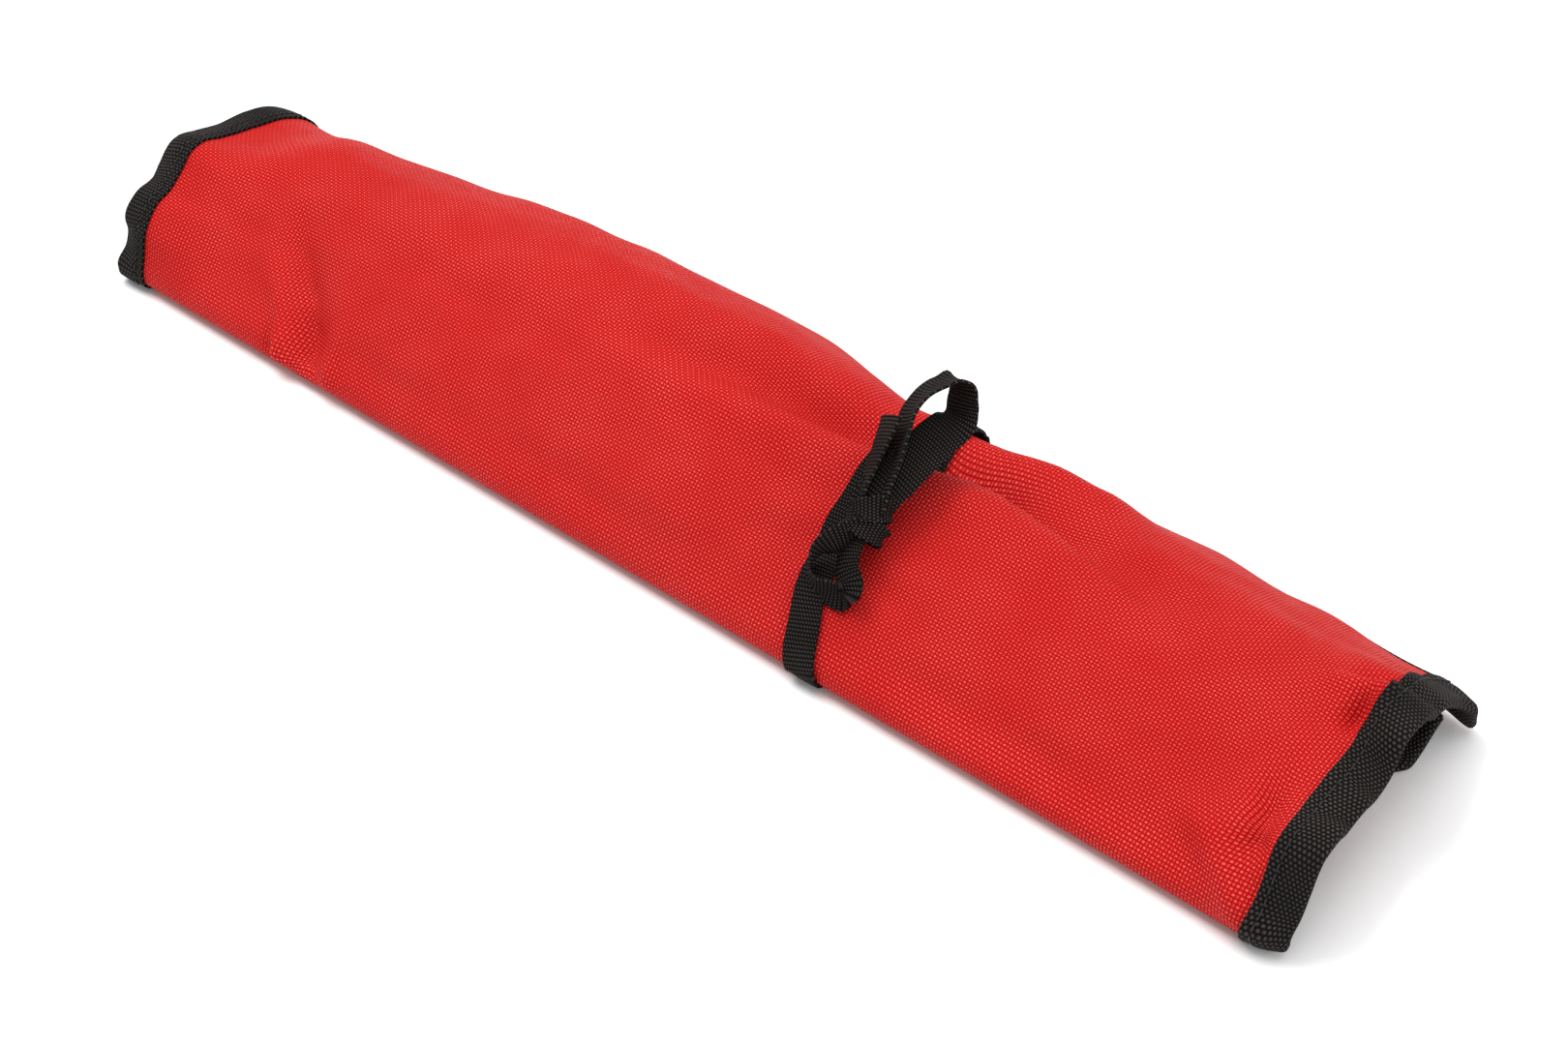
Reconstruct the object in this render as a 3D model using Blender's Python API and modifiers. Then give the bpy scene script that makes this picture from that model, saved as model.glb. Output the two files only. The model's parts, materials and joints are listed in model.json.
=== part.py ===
"""Rolled fire blanket in a tied cloth wrap.

A red coated-cloth wrap lies round a folded glass-fibre blanket. Black tape binds the
wrap's edges, and a narrower black tape ties it with a bow. Units are metres, +Z is up,
+X runs along the roll. The wrap's flap opens about its front edge, the blanket slides
out of the left end, and the bow's loops and tail swing at the knot.
"""

from math import cos, pi, sin

import bpy
import numpy as np
from mathutils import Matrix, Vector

# Driving dimensions
RED_LENGTH = 0.425          # red cloth between the two end bindings
BINDING_WIDTH = 0.0125      # a 25 mm tape folded in half over the edge
CLOTH = 0.0008              # coated cloth with its lining
TAPE = 0.0010               # woven tape, binding and tie
GAP = 0.0003                # play between pieces that touch
HINGE_GAP = 0.0006          # play between the flap and the lower layer at the front edge
TIE_WIDTH = 0.015
TIE_X = 0.063               # the tie's middle, right of the roll's middle
SKEW = 0.05                 # sideways drift of the rolled sheet for each metre round the roll
FLAP_REACH = 0.011          # the flap's back edge hangs this far behind the lower layer
BLANKET_LENGTH = 0.400      # the blanket folded in three

# Sizes that follow
LAYER = CLOTH / 2 + GAP + TAPE / 2      # a tape's middle, from the cloth's middle
STACK = CLOTH / 2 + GAP + TAPE          # a tape's outer face, from the cloth's middle
END = RED_LENGTH / 2 + BINDING_WIDTH
FOLD_X = END - TAPE / 2 - LAYER         # where the binding starts its turn over the edge
CLOTH_END = FOLD_X - GAP
PILE = STACK + TAPE + GAP               # a tape that lies on another tape
FOOT_Z = PILE + 2 * GAP                 # the cloth's end in the flap's back binding
HINGE_Y = 0.0015
HINGE_Z = 0.0050
FRONT_RADIUS = 0.0045                   # the front fold, on the cloth's middle

# The tie's place along the roll, in metres: over the flap from front to back, and under it
TIE_DRIFT = [[0.067], [0.060], [0.061], [0.067]]
TIE_UNDER = [[0.067], [0.067], [0.067], [0.067]]

TACK = (0.010, 0.006, 0.0008)   # the sewn patch that holds the tie to the flap's back edge

# The bow. Loop and tail routes are (away from the knot, up), in millimetres
KNOT_U = 0.345              # the knot's place round the flap
KNOT_CORE = (0.014, 0.013, 0.007)
KNOT_PLAY = 0.0009          # between the core and the turn of tape round it
BIG_LOOP = ((7.5, -1), (18, 1), (32, 3), (43, 8), (45, 15), (37, 19), (24, 15), (12, 7), (7.5, 2.5))
LOOP_LEAN = 0.22            # the loop leans this far left for each millimetre up
SMALL_LOOP = ((7.5, 1.5), (13, 4), (20, 3), (24, -3), (21, -7), (14, -5), (7.5, -1.5))
TAIL = ((3, 5), (8, 15), (17, 27))
TAIL_SIDE = -13.0

# The blanket's cross-section, in millimetres: front, middle and back across, and the height
# there at the full left end and at the low right end
BLANKET_Y = (18, 44, 67)
BLANKET_HIGH = (20, 33, 28)
BLANKET_LOW = (13, 21, 24)
BLANKET_BASE = 4.2
BLANKET_ROUND = 5.0
BLANKET_RIGHT = 0.195
BLANKET_FULL_TO = -0.040
PULL_FRONT_Y = 0.034
PULL_BACK_Y = 0.056
PULL_Z = 0.016

# How finely the wrap's surfaces are divided
LENGTH_STEPS = 27
FLAP_STEPS = 20
LOWER_STEPS = 14

# Colours, linear
RED = (0.60, 0.014, 0.019)
BLACK = (0.024, 0.022, 0.022)
THREAD = (0.012, 0.012, 0.012)
GLASS_FIBRE = (0.80, 0.78, 0.72)

# Cross-sections of the flap at five places along the roll: shoulder, slope, ridge and
# back as (y, z), then the back edge's y. All in millimetres, from the front edge.
STATIONS = {
    -0.225: ((8, 16), (24, 30), (50, 38), (74, 21), 83),
    -0.110: ((8, 17), (26, 32), (66, 43), (94, 22), 101),
    0.020: ((7, 17), (25, 32), (70, 43), (98, 22), 105),
    TIE_X: ((8, 16), (27, 28), (68, 34), (92, 19), 99),
    0.115: ((10, 13), (30, 25), (79, 33), (104, 17), 111),
    0.225: ((9, 13), (29, 23), (76, 27), (100, 12), 108),
}


def interpolate(knots, values, at):
    """Smooth curve through values at their knots, read at one place."""
    knots = np.asarray(knots, float)
    values = np.asarray(values, float)
    steps = np.diff(knots)[:, None]
    slopes = np.diff(values, axis=0) / steps
    inner = (slopes[:-1] * steps[1:] + slopes[1:] * steps[:-1]) / (steps[:-1] + steps[1:])
    tangents = np.vstack([slopes[:1], inner, slopes[-1:]])
    i = int(np.clip(np.searchsorted(knots, at) - 1, 0, len(knots) - 2))
    h = knots[i + 1] - knots[i]
    t = np.clip((at - knots[i]) / h, 0.0, 1.0)
    return ((1 + 2 * t) * (1 - t) ** 2 * values[i] + t * (1 - t) ** 2 * h * tangents[i]
            + t * t * (3 - 2 * t) * values[i + 1] - t * t * (1 - t) * h * tangents[i + 1])


def along(points, part):
    """Point at a part (0 to 1) of the length of a smooth curve through points."""
    points = np.asarray(points, float)
    lengths = np.linalg.norm(np.diff(points, axis=0), axis=1)
    knots = np.concatenate([[0.0], np.cumsum(lengths)])
    return interpolate(knots, points, part * knots[-1])


def smooth_step(t):
    """Ease from 0 to 1."""
    t = min(max(t, 0.0), 1.0)
    return t * t * (3 - 2 * t)


def section(x):
    """Shoulder, slope, ridge, back and back-edge y of the flap at x, in metres."""
    values = [[c for point in row[:4] for c in point] + [row[4]] for row in STATIONS.values()]
    flat = interpolate(list(STATIONS), values, x) / 1000
    return [flat[0:2], flat[2:4], flat[4:6], flat[6:8]], flat[8]


def flap_middle(s, u):
    """Middle of the flap's cloth: s along the roll, u from the front hinge to the back edge."""
    points, foot_y = section(s)
    rise = (HINGE_Y, HINGE_Z + 0.0020)
    outline = [(HINGE_Y, HINGE_Z), rise] + points + [(foot_y, FOOT_Z)]
    y, z = along(outline, u)
    round_length = sum(np.linalg.norm(np.subtract(a, b)) for a, b in zip(outline[1:], outline))
    return Vector((s - SKEW * u * round_length, y, z))


def body_middle(s, u):
    """Middle of the lower layer's cloth: u from the front hinge, under, to its back edge."""
    foot_y = section(s)[1]
    back_y = foot_y - FLAP_REACH
    turn = 0.25
    if u < turn:
        angle = u / turn * pi / 2
        y = HINGE_Y + FRONT_RADIUS * (1 - cos(angle))
        z = STACK + (HINGE_Z - STACK) * (1 - sin(angle))
    else:
        start = HINGE_Y + FRONT_RADIUS
        way = (u - turn) / (1 - turn)
        y = start + (back_y - start) * way
        from_tie = abs(s - SKEW * y - TIE_UNDER[0][0])
        over_tie = smooth_step(1 - (from_tie - TIE_WIDTH * 0.6) / TIE_WIDTH)
        z = STACK + (TAPE + 2 * GAP) * over_tie * smooth_step((way - 0.62) / 0.16)
    return Vector((s - SKEW * y, y, z))


def outward(surface, s, u):
    """Unit normal of a wrap surface, away from the blanket."""
    ds = 0.0005
    du = 0.004
    s0 = min(max(s, -END + ds), END - ds)
    u0 = min(max(u, du), 1 - du)
    lengthwise = surface(s0 + ds, u0) - surface(s0 - ds, u0)
    round_way = surface(s0, u0 + du) - surface(s0, u0 - du)
    normal = lengthwise.cross(round_way)
    return normal.normalized() if surface is flap_middle else -normal.normalized()


def material(name, colour, roughness):
    """One Principled material."""
    made = bpy.data.materials.new(name)
    made.use_nodes = True
    shader = made.node_tree.nodes["Principled BSDF"]
    shader.inputs["Base Color"].default_value = (*colour, 1.0)
    shader.inputs["Roughness"].default_value = roughness
    shader.inputs["Metallic"].default_value = 0.0
    return made


def new_object(name, mesh, colour, roughness, parent):
    """Put a mesh in the scene as one named piece."""
    mesh.materials.append(material(name, colour, roughness))
    made = bpy.data.objects.new(name, mesh)
    parts.objects.link(made)
    made.parent = parent
    made.matrix_parent_inverse = parent.matrix_world.inverted()
    return made


def sheet(name, rows, thickness, colour, roughness, parent, ring=False):
    """A thin piece lofted through rows of points on its middle surface, then thickened."""
    across = len(rows[0])
    vertices = [tuple(point) for row in rows for point in row]
    faces = []
    last = len(rows) if ring else len(rows) - 1
    for i in range(last):
        here = i * across
        there = (i + 1) % len(rows) * across
        for j in range(across - 1):
            faces.append((here + j, here + j + 1, there + j + 1, there + j))
    mesh = bpy.data.meshes.new(name)
    mesh.from_pydata(vertices, [], faces)
    mesh.update()
    mesh.shade_smooth()
    made = new_object(name, mesh, colour, roughness, parent)
    solid = made.modifiers.new("Thickness", "SOLIDIFY")
    solid.thickness = thickness
    solid.offset = 0.0
    solid.use_even_offset = True
    solid.use_rim = True
    return made


def block(name, centre, size, turn, colour, roughness, parent):
    """A small rounded block, such as a bar tack."""
    bpy.ops.mesh.primitive_cube_add(size=1.0)
    made = bpy.context.object
    made.name = name
    made.data.name = name
    made.data.transform(Matrix.Diagonal((*size, 1.0)))
    made.data.transform(Matrix.Translation(centre) @ turn)
    made.data.materials.append(material(name, colour, roughness))
    for collection in list(made.users_collection):
        collection.objects.unlink(made)
    parts.objects.link(made)
    made.parent = parent
    made.matrix_parent_inverse = parent.matrix_world.inverted()
    bevel = made.modifiers.new("Round", "BEVEL")
    bevel.width = min(size) * 0.3
    bevel.segments = 1
    return made


def spread(start, end, count):
    """Evenly spaced numbers, both ends included."""
    return [float(value) for value in np.linspace(start, end, count)]


def round_steps(start, end, count):
    """Places round the roll, with one more close to the hinge so that the edge there is square."""
    even = spread(start, end, count)
    return [start, start + 0.012] + even[1:]


def cloth_layer(name, surface, u_start, count, parent):
    """One layer of the red cloth, from the front hinge to its back edge."""
    half = RED_LENGTH / 2
    lengthwise = [-CLOTH_END] + spread(-half, half, LENGTH_STEPS) + [CLOTH_END]
    rows = [[surface(s, u) for u in round_steps(u_start, 1.0, count)] for s in lengthwise]
    return sheet(name, rows, CLOTH, RED, 0.55, parent)


def end_binding(name, surface, side, u_start, count, parent):
    """Tape folded over the wrap's end edge: outer leaf, turn, inner leaf."""
    inner_edge = side * RED_LENGTH / 2
    fold = side * FOLD_X
    rows = []
    for u in round_steps(u_start, 1.0, count):
        row = [surface(s, u) + outward(surface, s, u) * LAYER
               for s in spread(inner_edge, fold, 3)]
        centre = surface(fold, u)
        normal = outward(surface, fold, u)
        for angle in (pi / 4, pi / 2, 3 * pi / 4):
            row.append(centre + (normal * cos(angle) + Vector((side * sin(angle), 0, 0))) * LAYER)
        row += [surface(s, u) - outward(surface, s, u) * LAYER
                for s in spread(fold, inner_edge, 3)]
        rows.append(row)
    return sheet(name, rows, TAPE, BLACK, 0.8, parent)


def long_binding(name, surface, u_inner, parent):
    """Tape folded over a long edge of the wrap, between the two end bindings."""
    half = RED_LENGTH / 2 - GAP
    u_fold = 1.0
    rows = []
    for s in spread(-half, half, LENGTH_STEPS):
        row = [surface(s, u) + outward(surface, s, u) * LAYER
               for u in spread(u_inner, u_fold, 3)]
        centre = surface(s, u_fold)
        normal = outward(surface, s, u_fold)
        onward = (surface(s, u_fold) - surface(s, u_fold - 0.02)).normalized()
        for angle in (pi / 4, pi / 2, 3 * pi / 4):
            row.append(centre + (normal * cos(angle) + onward * sin(angle)) * LAYER)
        row += [surface(s, u) - outward(surface, s, u) * LAYER
                for u in spread(u_fold, u_inner, 3)]
        rows.append(row)
    return sheet(name, rows, TAPE, BLACK, 0.8, parent)


def strip(name, route, width_way, width, colour, parent, thickness=TAPE):
    """Flat tape along a route of middle points, its width along one direction."""
    half = Vector(width_way).normalized() * width / 2
    rows = [[Vector(point) - half, Vector(point) + half] for point in route]
    return sheet(name, rows, thickness, colour, 0.8, parent)


def smooth_route(points, count):
    """Evenly spaced points on a smooth curve through a few points."""
    return [Vector(along(points, part)) for part in spread(0.0, 1.0, count)]


def pivot(name, location, parent=None):
    """An empty at the place that a moving body turns about."""
    made = bpy.data.objects.new(name, None)
    parts.objects.link(made)
    if parent:
        made.parent = parent
        made.matrix_parent_inverse = parent.matrix_world.inverted()
    made.matrix_world = Matrix.Translation(location)
    bpy.context.view_layer.update()
    return made


def tie_point(surface, u, lift, across=0.0):
    """A place on the tie tape round the wrap, lifted off the cloth's middle."""
    drift = TIE_DRIFT if surface is flap_middle else TIE_UNDER
    x = float(interpolate([0, 0.15, 0.4, 1], drift, u)[0]) + across
    s = x
    for _ in range(3):
        s += x - surface(s, u).x
    return surface(s, u) + outward(surface, s, u) * lift


def tie_row(surface, u, lift):
    """The tie tape's width at one place round the wrap."""
    return [tie_point(surface, u, lift, across) for across in spread(-TIE_WIDTH / 2, TIE_WIDTH / 2, 4)]


def rounded(corners, radius, steps):
    """Closed outline with each corner replaced by a short parabola."""
    made = []
    for i, corner in enumerate(corners):
        before = corner + (corners[i - 1] - corner).normalized() * radius
        after = corner + (corners[(i + 1) % len(corners)] - corner).normalized() * radius
        for t in spread(0, 1, steps):
            made.append(before * (1 - t) ** 2 + corner * 2 * t * (1 - t) + after * t * t)
    return made


def blanket_outline(x):
    """Outline of the folded blanket at x: higher left of the tie, lower right of it."""
    full = 1 - smooth_step((x - BLANKET_FULL_TO) / (BLANKET_RIGHT - BLANKET_FULL_TO))
    front, middle, back = [high * full + low * (1 - full) for high, low in zip(BLANKET_HIGH, BLANKET_LOW)]
    front_y, middle_y, back_y = BLANKET_Y
    corners = [(front_y, BLANKET_BASE), (back_y, BLANKET_BASE), (back_y, back), (middle_y, middle),
               (front_y, front)]
    outline = rounded([Vector(corner) for corner in corners], BLANKET_ROUND, 5)
    return [Vector((x, y / 1000, z / 1000)) for y, z in outline]


# ---- scene ------------------------------------------------------------------------------

for old in list(bpy.data.objects):
    bpy.data.objects.remove(old, do_unlink=True)

parts = bpy.data.collections.new("fire_blanket")
bpy.context.scene.collection.children.link(parts)

# The hinge runs along the outside of the front edge, so the flap turns clear of the rest.
HINGE = Vector((0, HINGE_Y - STACK, HINGE_Z))
root = pivot("wrap_origin", (0, 0, 0))
flap = pivot("flap_axis", HINGE, root)
blanket = pivot("blanket_origin", (0, 0, 0), root)

# ---- wrap: lower layer -------------------------------------------------------------------

BODY_SLIT = 0.25 * (HINGE_GAP / 2) / (pi / 2 * FRONT_RADIUS)   # half the play at the hinge, as a part
FLAP_SLIT = HINGE_GAP / 2 / 0.14                               # of each layer's way round

cloth_layer("wrap_lower_cloth", body_middle, BODY_SLIT, LOWER_STEPS, root)
end_binding("near_binding_lower", body_middle, 1, BODY_SLIT, LOWER_STEPS, root)
end_binding("far_binding_lower", body_middle, -1, BODY_SLIT, LOWER_STEPS, root)
long_binding("lower_edge_binding", body_middle, 1 - BINDING_WIDTH / 0.085, root)

# ---- wrap: flap --------------------------------------------------------------------------

cloth_layer("wrap_flap_cloth", flap_middle, FLAP_SLIT, FLAP_STEPS, flap)
end_binding("near_binding_flap", flap_middle, 1, FLAP_SLIT, FLAP_STEPS, flap)
end_binding("far_binding_flap", flap_middle, -1, FLAP_SLIT, FLAP_STEPS, flap)
long_binding("flap_edge_binding", flap_middle, 1 - BINDING_WIDTH / 0.14, flap)

# ---- tie: the band round the roll ----------------------------------------------------------

BACK_LIFT = LAYER + TAPE + 4 * GAP      # over the flap's back binding
over = [tie_row(flap_middle, u, LAYER + GAP + (BACK_LIFT - LAYER) * smooth_step((u - 0.78) / 0.08))
        for u in round_steps(FLAP_SLIT, 1.0, 28)]
sheet("tie_band_over", over, TAPE, BLACK, 0.8, flap)

# Under the roll the tape lies flat on the floor, then turns up behind to meet the upper run.
under = [tie_row(body_middle, u, LAYER) for u in round_steps(BODY_SLIT, 0.25, 5)]
front = under[-1]
corner = [point.y - BACK_LIFT for point in over[-1]]
for way in spread(0.0, 1.0, 8)[1:]:
    under.append([Vector((point.x, point.y + (y - point.y) * way, TAPE / 2)) for point, y in zip(front, corner)])
for angle in spread(0, pi / 2 * 0.85, 7)[1:]:
    z = FOOT_Z - (FOOT_Z - TAPE / 2) * cos(angle)
    under.append([Vector((point.x, y + BACK_LIFT * sin(angle), z)) for point, y in zip(front, corner)])
sheet("tie_band_under", under, TAPE, BLACK, 0.8, root)

tack = tie_point(flap_middle, 0.93, BACK_LIFT + TAPE / 2 + 4 * GAP + TACK[2] / 2)
facing = outward(flap_middle, TIE_DRIFT[-1][0], 0.93)
turn = Vector((0, 0, 1)).rotation_difference(facing).to_matrix().to_4x4()
block("tie_bar_tack", tack, TACK, turn, THREAD, 0.7, flap)

# ---- bow ---------------------------------------------------------------------------------

seat = tie_point(flap_middle, KNOT_U, STACK + KNOT_PLAY + 2 * GAP)
ahead = tie_point(flap_middle, KNOT_U + 0.04, STACK + KNOT_PLAY + 2 * GAP)
slope = (ahead - seat).normalized()
upright = Vector((1, 0, 0)).cross(slope).normalized()
KNOT = seat + upright * (TAPE + KNOT_PLAY + KNOT_CORE[2] / 2)


def at_knot(across, along_slope, height):
    """A point given in millimetres from the knot's middle."""
    return KNOT + (Vector((1, 0, 0)) * across + slope * along_slope + upright * height) / 1000


tilt = Matrix.Rotation(slope.angle(Vector((0, 1, 0))), 4, "X")
block("knot_core", KNOT, KNOT_CORE, tilt, BLACK, 0.8, flap)

half_x = KNOT_CORE[0] / 2 + KNOT_PLAY + TAPE / 2
half_z = KNOT_CORE[2] / 2 + KNOT_PLAY + TAPE / 2
ring = []
for angle in [2 * pi * i / 20 for i in range(20)]:
    x = half_x * abs(cos(angle)) ** 0.35 * (1 if cos(angle) > 0 else -1)
    z = half_z * abs(sin(angle)) ** 0.35 * (1 if sin(angle) > 0 else -1)
    ring.append(at_knot(x * 1000, 0, z * 1000))
half_width = slope * KNOT_CORE[1] * 0.40
sheet("knot_wrap", [[p - half_width, p + half_width] for p in ring], TAPE, BLACK, 0.8, flap, ring=True)

big_loop_axis = pivot("big_loop_axis", KNOT, flap)
small_loop_axis = pivot("small_loop_axis", KNOT, flap)
tail_axis = pivot("tail_axis", KNOT, flap)

loop = smooth_route([at_knot(-LOOP_LEAN * b, a, b) for a, b in BIG_LOOP], 26)
strip("big_loop", loop, (1, 0, LOOP_LEAN), TIE_WIDTH, BLACK, big_loop_axis)

loop = smooth_route([at_knot(0, -a, b) for a, b in SMALL_LOOP], 20)
strip("small_loop", loop, (1, 0, 0), TIE_WIDTH, BLACK, small_loop_axis)

ribbon = smooth_route([at_knot(TAIL_SIDE, a, b) for a, b in TAIL], 8)
way = (ribbon[-1] - ribbon[0]).normalized()
strip("tail", ribbon, way.cross(Vector((1, 0, 0))), TIE_WIDTH * 0.8, BLACK, tail_axis)

# ---- blanket -----------------------------------------------------------------------------

outlines = [blanket_outline(x) for x in spread(BLANKET_RIGHT - BLANKET_LENGTH, BLANKET_RIGHT, 13)]
around = len(outlines[0])
vertices = [tuple(point) for outline in outlines for point in outline]
faces = [tuple(reversed(range(around))), tuple(range(len(vertices) - around, len(vertices)))]
for i in range(len(outlines) - 1):
    for j in range(around):
        a = i * around + j
        b = i * around + (j + 1) % around
        faces.append((a, b, b + around, a + around))
mesh = bpy.data.meshes.new("folded_blanket")
mesh.from_pydata(vertices, [], faces)
mesh.update()
new_object("folded_blanket", mesh, GLASS_FIBRE, 0.9, blanket)

left = BLANKET_RIGHT - BLANKET_LENGTH - GAP
for label, middle in (("front", PULL_FRONT_Y), ("back", PULL_BACK_Y)):
    route = smooth_route([(left, middle - 0.007, PULL_Z), (left - 0.010, middle - 0.0075, PULL_Z),
                          (left - 0.016, middle, PULL_Z), (left - 0.010, middle + 0.0075, PULL_Z),
                          (left, middle + 0.007, PULL_Z)], 15)
    strip(f"pull_tape_{label}", route, (0, 0, 1), 0.010, BLACK, blanket)

# ---- place: the middle of the footprint, on the floor ---------------------------------------

bpy.context.view_layer.update()
graph = bpy.context.evaluated_depsgraph_get()
corners = [piece.matrix_world @ Vector(corner) for piece in parts.objects if piece.type == "MESH"
           for corner in piece.evaluated_get(graph).bound_box]
low = [min(corner[axis] for corner in corners) for axis in range(3)]
high = [max(corner[axis] for corner in corners) for axis in range(3)]
root.location = (-(low[0] + high[0]) / 2, -(low[1] + high[1]) / 2, -low[2])
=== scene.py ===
"""Rolled fire blanket in a tied red wrap.

Red coated cloth lies round a folded glass-fibre blanket. Black tape binds the edges, and a
narrower black tape ties the roll with a bow. Everything sewn to the wrap is made flat, at
(s along the roll, v round it), and is then laid on the rolled form.
"""
import json
import logging
from dataclasses import dataclass
from enum import Enum
from math import cos, pi, radians, sin

import bpy
import numpy as np
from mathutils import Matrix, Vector

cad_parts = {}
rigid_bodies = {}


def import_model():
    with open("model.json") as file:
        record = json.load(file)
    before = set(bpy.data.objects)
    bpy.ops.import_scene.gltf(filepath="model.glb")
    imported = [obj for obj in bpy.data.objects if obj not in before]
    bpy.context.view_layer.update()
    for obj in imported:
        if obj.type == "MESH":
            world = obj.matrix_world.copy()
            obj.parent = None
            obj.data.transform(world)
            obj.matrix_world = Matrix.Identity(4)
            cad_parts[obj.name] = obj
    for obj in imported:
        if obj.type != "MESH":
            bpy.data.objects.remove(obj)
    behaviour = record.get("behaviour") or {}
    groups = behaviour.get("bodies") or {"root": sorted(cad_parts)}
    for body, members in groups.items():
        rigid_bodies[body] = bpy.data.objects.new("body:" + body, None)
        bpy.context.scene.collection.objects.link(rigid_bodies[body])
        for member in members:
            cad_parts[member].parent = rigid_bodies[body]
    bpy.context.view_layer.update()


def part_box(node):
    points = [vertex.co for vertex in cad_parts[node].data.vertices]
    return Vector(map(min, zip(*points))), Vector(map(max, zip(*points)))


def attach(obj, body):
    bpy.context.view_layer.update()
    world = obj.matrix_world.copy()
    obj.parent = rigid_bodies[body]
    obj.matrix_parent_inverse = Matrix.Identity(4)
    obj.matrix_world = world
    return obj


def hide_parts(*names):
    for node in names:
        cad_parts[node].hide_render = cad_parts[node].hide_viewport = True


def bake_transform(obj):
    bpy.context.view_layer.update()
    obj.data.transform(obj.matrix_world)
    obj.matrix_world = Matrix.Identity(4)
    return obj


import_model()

LOG = logging.getLogger("fire_blanket")
Triple = tuple[float, float, float]

# Where the wrap's own measuring frame starts: x from the middle of the red cloth, y from
# the front edge. The blanket's box gives both.
BLANKET_LOW, BLANKET_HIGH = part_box("folded_blanket")
ORIGIN = np.array([BLANKET_HIGH[0] - 0.195, BLANKET_LOW[1] - 0.018, 0.0])

RED_LENGTH = 0.425
BINDING = 0.0125
END = RED_LENGTH / 2 + BINDING
SKEW = 0.05                 # sideways drift of the rolled cloth for each metre round the roll
FLAP_ROUND = 0.14           # usual length of the flap from the front fold
LOWER_ROUND = 0.09          # usual length of the layer underneath
CLOTH = 0.0008
TAPE = 0.0010
LEAF = 0.0011               # a tape leaf's middle from the cloth's middle
BINDING_LEAF = BINDING - LEAF - TAPE / 2    # length of each leaf of a folded binding
SMOOTH_ANGLE = radians(50)


def smooth(t: np.ndarray | float) -> np.ndarray:
    """Ease from 0 to 1."""
    t = np.clip(t, 0.0, 1.0)
    return t * t * (3 - 2 * t)


def through(knots: np.ndarray, values: np.ndarray, at: np.ndarray) -> np.ndarray:
    """Smooth curve through values at their knots.

    Args:
        knots: Increasing numbers.
        values: One row for each knot.
        at: Where to read the curve.

    Returns:
        One row for each place read.
    """
    knots, values, at = np.asarray(knots, float), np.asarray(values, float), np.atleast_1d(at)
    steps = np.diff(knots)[:, None]
    slopes = np.diff(values, axis=0) / steps
    inner = (slopes[:-1] * steps[1:] + slopes[1:] * steps[:-1]) / (steps[:-1] + steps[1:])
    tangents = np.vstack([slopes[:1], inner, slopes[-1:]])
    i = np.clip(np.searchsorted(knots, at) - 1, 0, len(knots) - 2)
    h = (knots[i + 1] - knots[i])[:, None]
    t = np.clip((at[:, None] - knots[i][:, None]) / h, 0.0, 1.0)
    return ((1 + 2 * t) * (1 - t) ** 2 * values[i] + t * (1 - t) ** 2 * h * tangents[i]
            + t * t * (3 - 2 * t) * values[i + 1] - t * t * (1 - t) * h * tangents[i + 1])


def chord(points: np.ndarray) -> np.ndarray:
    """Running length of a line of points."""
    steps = np.linalg.norm(np.diff(points, axis=0), axis=1)
    return np.concatenate([[0.0], np.cumsum(steps)])


def route(points: np.ndarray, count: int) -> np.ndarray:
    """Evenly spaced rows on a smooth curve, measured along its first three columns.

    Args:
        points: Rows of numbers that the curve goes through.
        count: How many rows to give back.

    Returns:
        The rows.
    """
    points = np.asarray(points, float)
    knots = chord(points[:, :3])
    fine = through(knots, points, np.linspace(0, knots[-1], 400))
    far = chord(fine[:, :3])
    at = np.linspace(0, far[-1], count)
    return np.column_stack([np.interp(at, far, fine[:, k]) for k in range(points.shape[1])])


# ---- bpy helpers ---------------------------------------------------------------------------


def start_clean() -> None:
    """Deselect everything, so that an operator acts on the new piece only."""
    if bpy.context.object and bpy.context.object.mode != "OBJECT":
        bpy.ops.object.mode_set(mode="OBJECT")
    bpy.ops.object.select_all(action="DESELECT")


def flat_grid(name: str, columns: int, rows: int) -> bpy.types.Object:
    """A grid from -1 to 1 both ways, with a UV map."""
    start_clean()
    bpy.ops.mesh.primitive_grid_add(x_subdivisions=columns, y_subdivisions=rows, size=2.0,
                                    calc_uvs=True)
    made = bpy.context.object
    made.name = made.data.name = name
    return made


def corners(piece: bpy.types.Object) -> np.ndarray:
    """The vertices of a piece as rows."""
    flat = np.empty(len(piece.data.vertices) * 3)
    piece.data.vertices.foreach_get("co", flat)
    return flat.reshape(-1, 3)


def set_corners(piece: bpy.types.Object, points: np.ndarray) -> None:
    """Move the vertices of a piece."""
    piece.data.vertices.foreach_set("co", np.asarray(points, np.float32).ravel())
    piece.data.update()


def set_uv(piece: bpy.types.Object, metres: np.ndarray) -> None:
    """Give each vertex its place on the flat cloth or tape, in metres, as UV."""
    index = np.empty(len(piece.data.loops), int)
    piece.data.loops.foreach_get("vertex_index", index)
    piece.data.uv_layers[0].data.foreach_set("uv", metres[index].astype(np.float32).ravel())


def finish_mesh(piece: bpy.types.Object, thickness: float = 0.0) -> None:
    """Give a surface its thickness and smooth the shading.

    Args:
        piece: The piece to finish.
        thickness: Wall thickness, half to each side, or 0 for a piece that is solid already.
    """
    start_clean()
    piece.select_set(True)
    bpy.context.view_layer.objects.active = piece
    if thickness:
        wall = piece.modifiers.new("wall", "SOLIDIFY")
        wall.thickness, wall.offset, wall.use_even_offset = thickness, 0.0, False
        bpy.ops.object.modifier_apply(modifier=wall.name)
    bpy.ops.object.shade_smooth_by_angle(angle=SMOOTH_ANGLE)
    start_clean()


def dress(piece: bpy.types.Object, finish: "Finish") -> None:
    """Put one finish on a piece."""
    piece.data.materials.clear()
    piece.data.materials.append(finish.material())


# ---- finishes ------------------------------------------------------------------------------


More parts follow.
